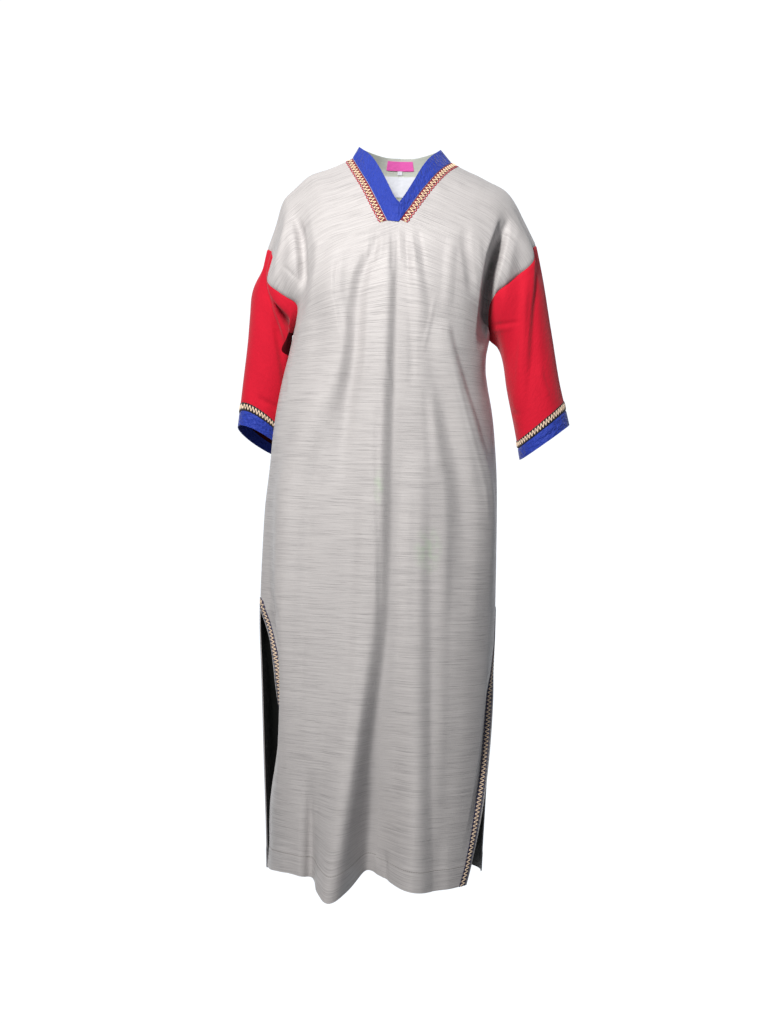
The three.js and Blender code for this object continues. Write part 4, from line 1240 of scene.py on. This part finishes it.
def braid(name, ribbon, period, backing, cords, materials):
    """A flat backing (low and high edge, slot), then cords on it.

    Each cord has its path, half width, height, lift and slot.
    """
    joined = Joined()
    s = np.linspace(0, ribbon.length, max(int(ribbon.length / period * STEPS_TO_A_PERIOD), 12))
    low, high, slot = backing
    add_strip(joined, ribbon, s, low, high, BACKING_LIFT, TRIM_BACKING, slot)
    for path, half_width, height, lift, slot in cords:
        add_cord(joined, ribbon, s, path(s / period), half_width, height, lift, slot)
    pieces[name] = joined.make(name + "_thread", materials)


def neck_braid(side_name):
    """Gold zigzag on wine, crimson scallops at both edges, a navy line beside the band."""
    ribbon = neck_ribbon(side_name)
    wide = ribbon.width
    cords = [
        (straight(0.5), 0.6, 0.55, 0.7, 2),
        (scallop(2.6, -1.6, INWARDS), 0.7, 0.55, 0.6, 1),
        (scallop(wide - 3.6, 3.2, OUTWARDS), 1.0, 0.6, 0.6, 1),
        (zigzag(2.4, wide - 3.4), 0.85, 0.65, 0.95, 0),
    ]
    braid("neck_braid_" + side_name, ribbon, NECK_PERIOD, (0.3, wide - 3.4, 3), cords,
          looks("gold_thread", "crimson_thread", "navy_thread", "wine_thread"))


def cuff_braid(side_name):
    """Cream zigzag on near black, scalloped at both edges."""
    ribbon = cuff_ribbon(side_name)
    wide = ribbon.width
    cords = [
        (zigzag(2.2, wide - 2.2), 0.95, 0.7, 0.85, 0),
        (scallop(1.6, -1.4, INWARDS), 0.6, 0.5, 0.7, 1),
        (scallop(wide - 1.6, 1.4, OUTWARDS), 0.6, 0.5, 0.7, 1),
    ]
    braid("cuff_braid_" + side_name, ribbon, CUFF_PERIOD, (0.4, wide - 0.4, 1), cords,
          looks("cream_thread", "black_thread"))


def slit_braid(side_name):
    """Cream zigzag on navy, with a navy loop round each of its points."""
    ribbon = slit_ribbon(side_name)
    wide = ribbon.width
    cords = [
        (zigzag(2.6, wide - 2.6), 0.95, 0.7, 0.85, 0),
        (scallop(2.9, -2.3, INWARDS), 0.85, 0.6, 0.7, 1),
        (scallop(wide - 2.9, 2.3, OUTWARDS), 0.85, 0.6, 0.7, 1),
    ]
    braid("slit_braid_" + side_name, ribbon, SLIT_PERIOD, (2.8, wide - 2.8, 1), cords,
          looks("cream_thread", "navy_thread"))


HEM_ROWS = 10  # fine rows at the hem that hold its stitches
STITCH_LENGTH, STITCH_SPACING = 3.1, 4.4


def hem_stitches(face):
    """A row of short stitches that holds the turned hem."""
    joined = Joined()
    for side in panels.values():
        hem = [side[face][key][:-HEM_ROWS - 1:-1].transpose(1, 0, 2) for key in ("p", "n")]
        ribbon = Ribbon(*hem)
        for start in np.arange(1, ribbon.length - 4, STITCH_SPACING):
            s = np.linspace(start, start + STITCH_LENGTH, 4)
            add_cord(joined, ribbon, s, np.full(4, float(HEM_TURNING)), 0.5, 0.3, 0.12, 0, sides=4)
    return joined.make("hem_stitches_" + face, looks("grey_thread"))


hems = {face: hem_stitches(face) for face in ("front", "back")}

for side_name in panels:
    neck_braid(side_name)
    cuff_braid(side_name)
    slit_braid(side_name)


# ---------------------------------------------------------------- inside the back neck
BAND_DEPTH = 30  # of the neck band, from its top edge to the back panel
FACING_TOP, FACING_GAP, FACING_WALL = 1.5, 0.4, 0.6
LABEL_GAP, LABEL_WALL = 1.5, 0.5
FACING_POINTS, LABEL_POINTS, LABEL_LINES = 17, 13, 19
BACK_LINE_ROWS = 40  # fine rows of the back, more than the facing covers
WRINKLE, WRINKLE_TURN, WRINKLE_END = 0.7, 2.1, 0.9  # height, turn for each line, where they stop


def inside_lines():
    """Lines down the inside of the back neck, from the wearer's right to the left."""
    lines = []
    corner = NECK_COLUMNS * FINE_NECK
    for side_name, columns in (("right", range(corner - 1, 0, -1)), ("left", range(corner))):
        band, back = panels[side_name]["band"], panels[side_name]["back"]
        for c in columns:
            own = band["p"].shape[0] - 1 - c
            lines.append([np.concatenate([band[key][own, ::-1], back[key][1:BACK_LINE_ROWS, c]])
                          for key in "pn"])
    return lines


def inside_sheet(name, places, normals, material, thickness):
    """A thin sheet on a grid of places, one material on both its faces."""
    grid = new_grid(places, 1, "body", False)
    grid["n"] = normals
    a, b, c, d = (places.reshape(-1, 3)[grid["quads"][:, k]] for k in range(4))
    if (np.cross(c - a, d - b) * normals.reshape(-1, 3)[grid["quads"][:, 0]]).sum() < 0:
        grid["quads"] = grid["quads"][:, ::-1]
    grid["number"] = np.arange(len(places) * len(places[0]))
    grid["uv"] = np.stack([along_columns(places), along_rows(places)], -1)
    pieces[name] = shell(name + "_cloth", [grid], looks(material, material), 0, thickness)


def add_facing():
    """The facing, deepest in the middle of the back; returns its places and normals."""
    lines = inside_lines()
    middle = (len(lines) - 1) / 2
    away = np.abs(np.arange(len(lines)) - middle) / (middle + 1)
    feet = BAND_DEPTH + FACING_DEPTH * (1 - away ** 2)
    spots = [walk(points, facing, np.linspace(FACING_TOP, foot, FACING_POINTS))
             for (points, facing), foot in zip(lines, feet)]
    normals = np.array([normal for _, normal in spots])
    places = np.array([place for place, _ in spots]) - normals * (BAND_WALL + FACING_GAP)
    wrinkles = WRINKLE * np.sin(np.arange(len(lines)) * WRINKLE_TURN) * (away < WRINKLE_END)
    share = np.linspace(0, 1, FACING_POINTS)
    places += normals * wrinkles[:, None, None] * share[None, :, None]
    inside_sheet("neck_facing", places, normals, "facing_cloth", FACING_WALL)
    return places, normals


def add_label(name, facing, half_width, top, foot, material):
    """A flat bare label on the inside of the facing."""
    places, normals = facing
    middle = (len(places) - 1) / 2
    spacing = np.linalg.norm(places[int(middle) + 1, 0] - places[int(middle), 0])
    spots = []
    for offset in np.linspace(-half_width, half_width, LABEL_LINES):
        column = middle + offset / spacing
        i, t = int(column), column - int(column)
        place = places[i] * (1 - t) + places[i + 1] * t
        normal = unit(normals[i] * (1 - t) + normals[i + 1] * t)
        spots.append(walk(place, normal, np.linspace(top, foot, LABEL_POINTS)))
    normals = np.array([normal for _, normal in spots])
    places = np.array([place for place, _ in spots]) - normals * LABEL_GAP
    inside_sheet(name, places, normals, material, LABEL_WALL)


neck_facing = add_facing()
add_label("woven_label", neck_facing, half_width=24.5, top=3, foot=21.5, material="pink_label")
add_label("size_tab", neck_facing, half_width=4, top=21.8, foot=29.5, material="white_label")
add_label("printed_label", neck_facing, half_width=29, top=33, foot=72, material="white_label")


# ---------------------------------------------------------------- cut sizes, sewn-on pieces, and the construction's parts hidden
# Flat cut of each cloth piece: its greatest width and length in metres, and its area in
# square metres where it isn't a rectangle.
CUTS = {
    "front": (0.66, 1.40, 0.78),
    "back": (0.66, 1.40, 0.76),
    "sleeve": (0.42, 0.34, 0.09),
    "cuff": (0.25, 0.034, None),
    "neck_band": (0.32, 0.03, None),
    "neck_facing": (0.19, 0.10, 0.015),
    "woven_label": (0.049, 0.0185, None),
    "printed_label": (0.058, 0.039, None),
}

SEWN_ON = {
    "front": ["neck_braid_right", "neck_braid_left", "slit_braid_right", "slit_braid_left"],
    "sleeve_right": ["cuff_braid_right"],
    "sleeve_left": ["cuff_braid_left"],
    "woven_label": ["size_tab"],
}

for name, obj in pieces.items():
    stem = name.removesuffix("_right").removesuffix("_left")
    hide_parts(name)
    if stem in CUTS:
        sewn_on = [pieces[other] for other in SEWN_ON.get(name, ())]
        sewn_on += [hems[name]] if name in hems else []

# ---------------------------------------------------------------- light and camera
CAMERA_PLACE = (-0.006, -2.8, -0.62)
CAMERA_AIM = (-0.006, 0, -0.688)
CAMERA_ROLL = math.radians(2)
CAMERA_LENS, SENSOR_HEIGHT = 51.8, 36

# Share of the way to straight behind the garment between which the world brightens, and its
# strength on either side of that.
WORLD_DIRECTIONS = (0.2, 0.9)
WORLD_STRENGTHS = (0.16, 1.12)


def area_light(name, place, aim, size, power, colour):
    """A round lamp, aimed at a spot."""
    data = bpy.data.lights.new(name, "AREA")
    data.shape, data.size, data.energy, data.color = "DISK", size, power, colour
    obj = bpy.data.objects.new(name, data)
    obj.location = place
    obj.rotation_euler = (Vector(aim) - Vector(place)).to_track_quat("-Z", "Y").to_euler()
    bpy.context.scene.collection.objects.link(obj)


def set_camera():
    data = bpy.data.cameras.new("camera")
    data.sensor_fit, data.lens = "VERTICAL", CAMERA_LENS
    data.sensor_width = data.sensor_height = SENSOR_HEIGHT
    obj = bpy.data.objects.new("camera", data)
    obj.location = CAMERA_PLACE
    aim = (Vector(CAMERA_AIM) - Vector(CAMERA_PLACE)).to_track_quat("-Z", "Y")
    obj.rotation_mode = "QUATERNION"
    obj.rotation_quaternion = aim @ Quaternion((0, 0, 1), CAMERA_ROLL)
    bpy.context.scene.collection.objects.link(obj)
    bpy.context.scene.camera = obj


def set_world():
    """White behind the garment, and dim all round it."""
    world = bpy.data.worlds.new("world")
    world.use_nodes = True
    tree = world.node_tree
    background = tree.nodes["Background"]
    background.inputs["Color"].default_value = (0.93, 0.96, 1, 1)
    directions = tree.nodes.new("ShaderNodeTexCoord")
    separate = tree.nodes.new("ShaderNodeSeparateXYZ")
    tree.links.new(directions.outputs["Generated"], separate.inputs["Vector"])
    ramp = tree.nodes.new("ShaderNodeMapRange")
    names = ("From Min", "From Max", "To Min", "To Max")
    for name, value in zip(names, WORLD_DIRECTIONS + WORLD_STRENGTHS):
        ramp.inputs[name].default_value = value
    tree.links.new(separate.outputs["Y"], ramp.inputs["Value"])
    tree.links.new(ramp.outputs["Result"], background.inputs["Strength"])
    bpy.context.scene.world = world
    settings = bpy.context.scene.view_settings
    settings.view_transform, settings.look = "Standard", "None"
    settings.exposure, settings.gamma = 0.0, 1.0


area_light("key", place=(-0.85, -2.1, 0.95), aim=(0, 0, -0.4), size=0.5, power=98,
           colour=(1, 0.97, 0.935))
area_light("fill", place=(1.9, -1.9, 0.6), aim=(0, 0, -0.3), size=1.0, power=6,
           colour=(0.95, 0.97, 1))
set_camera()
set_world()
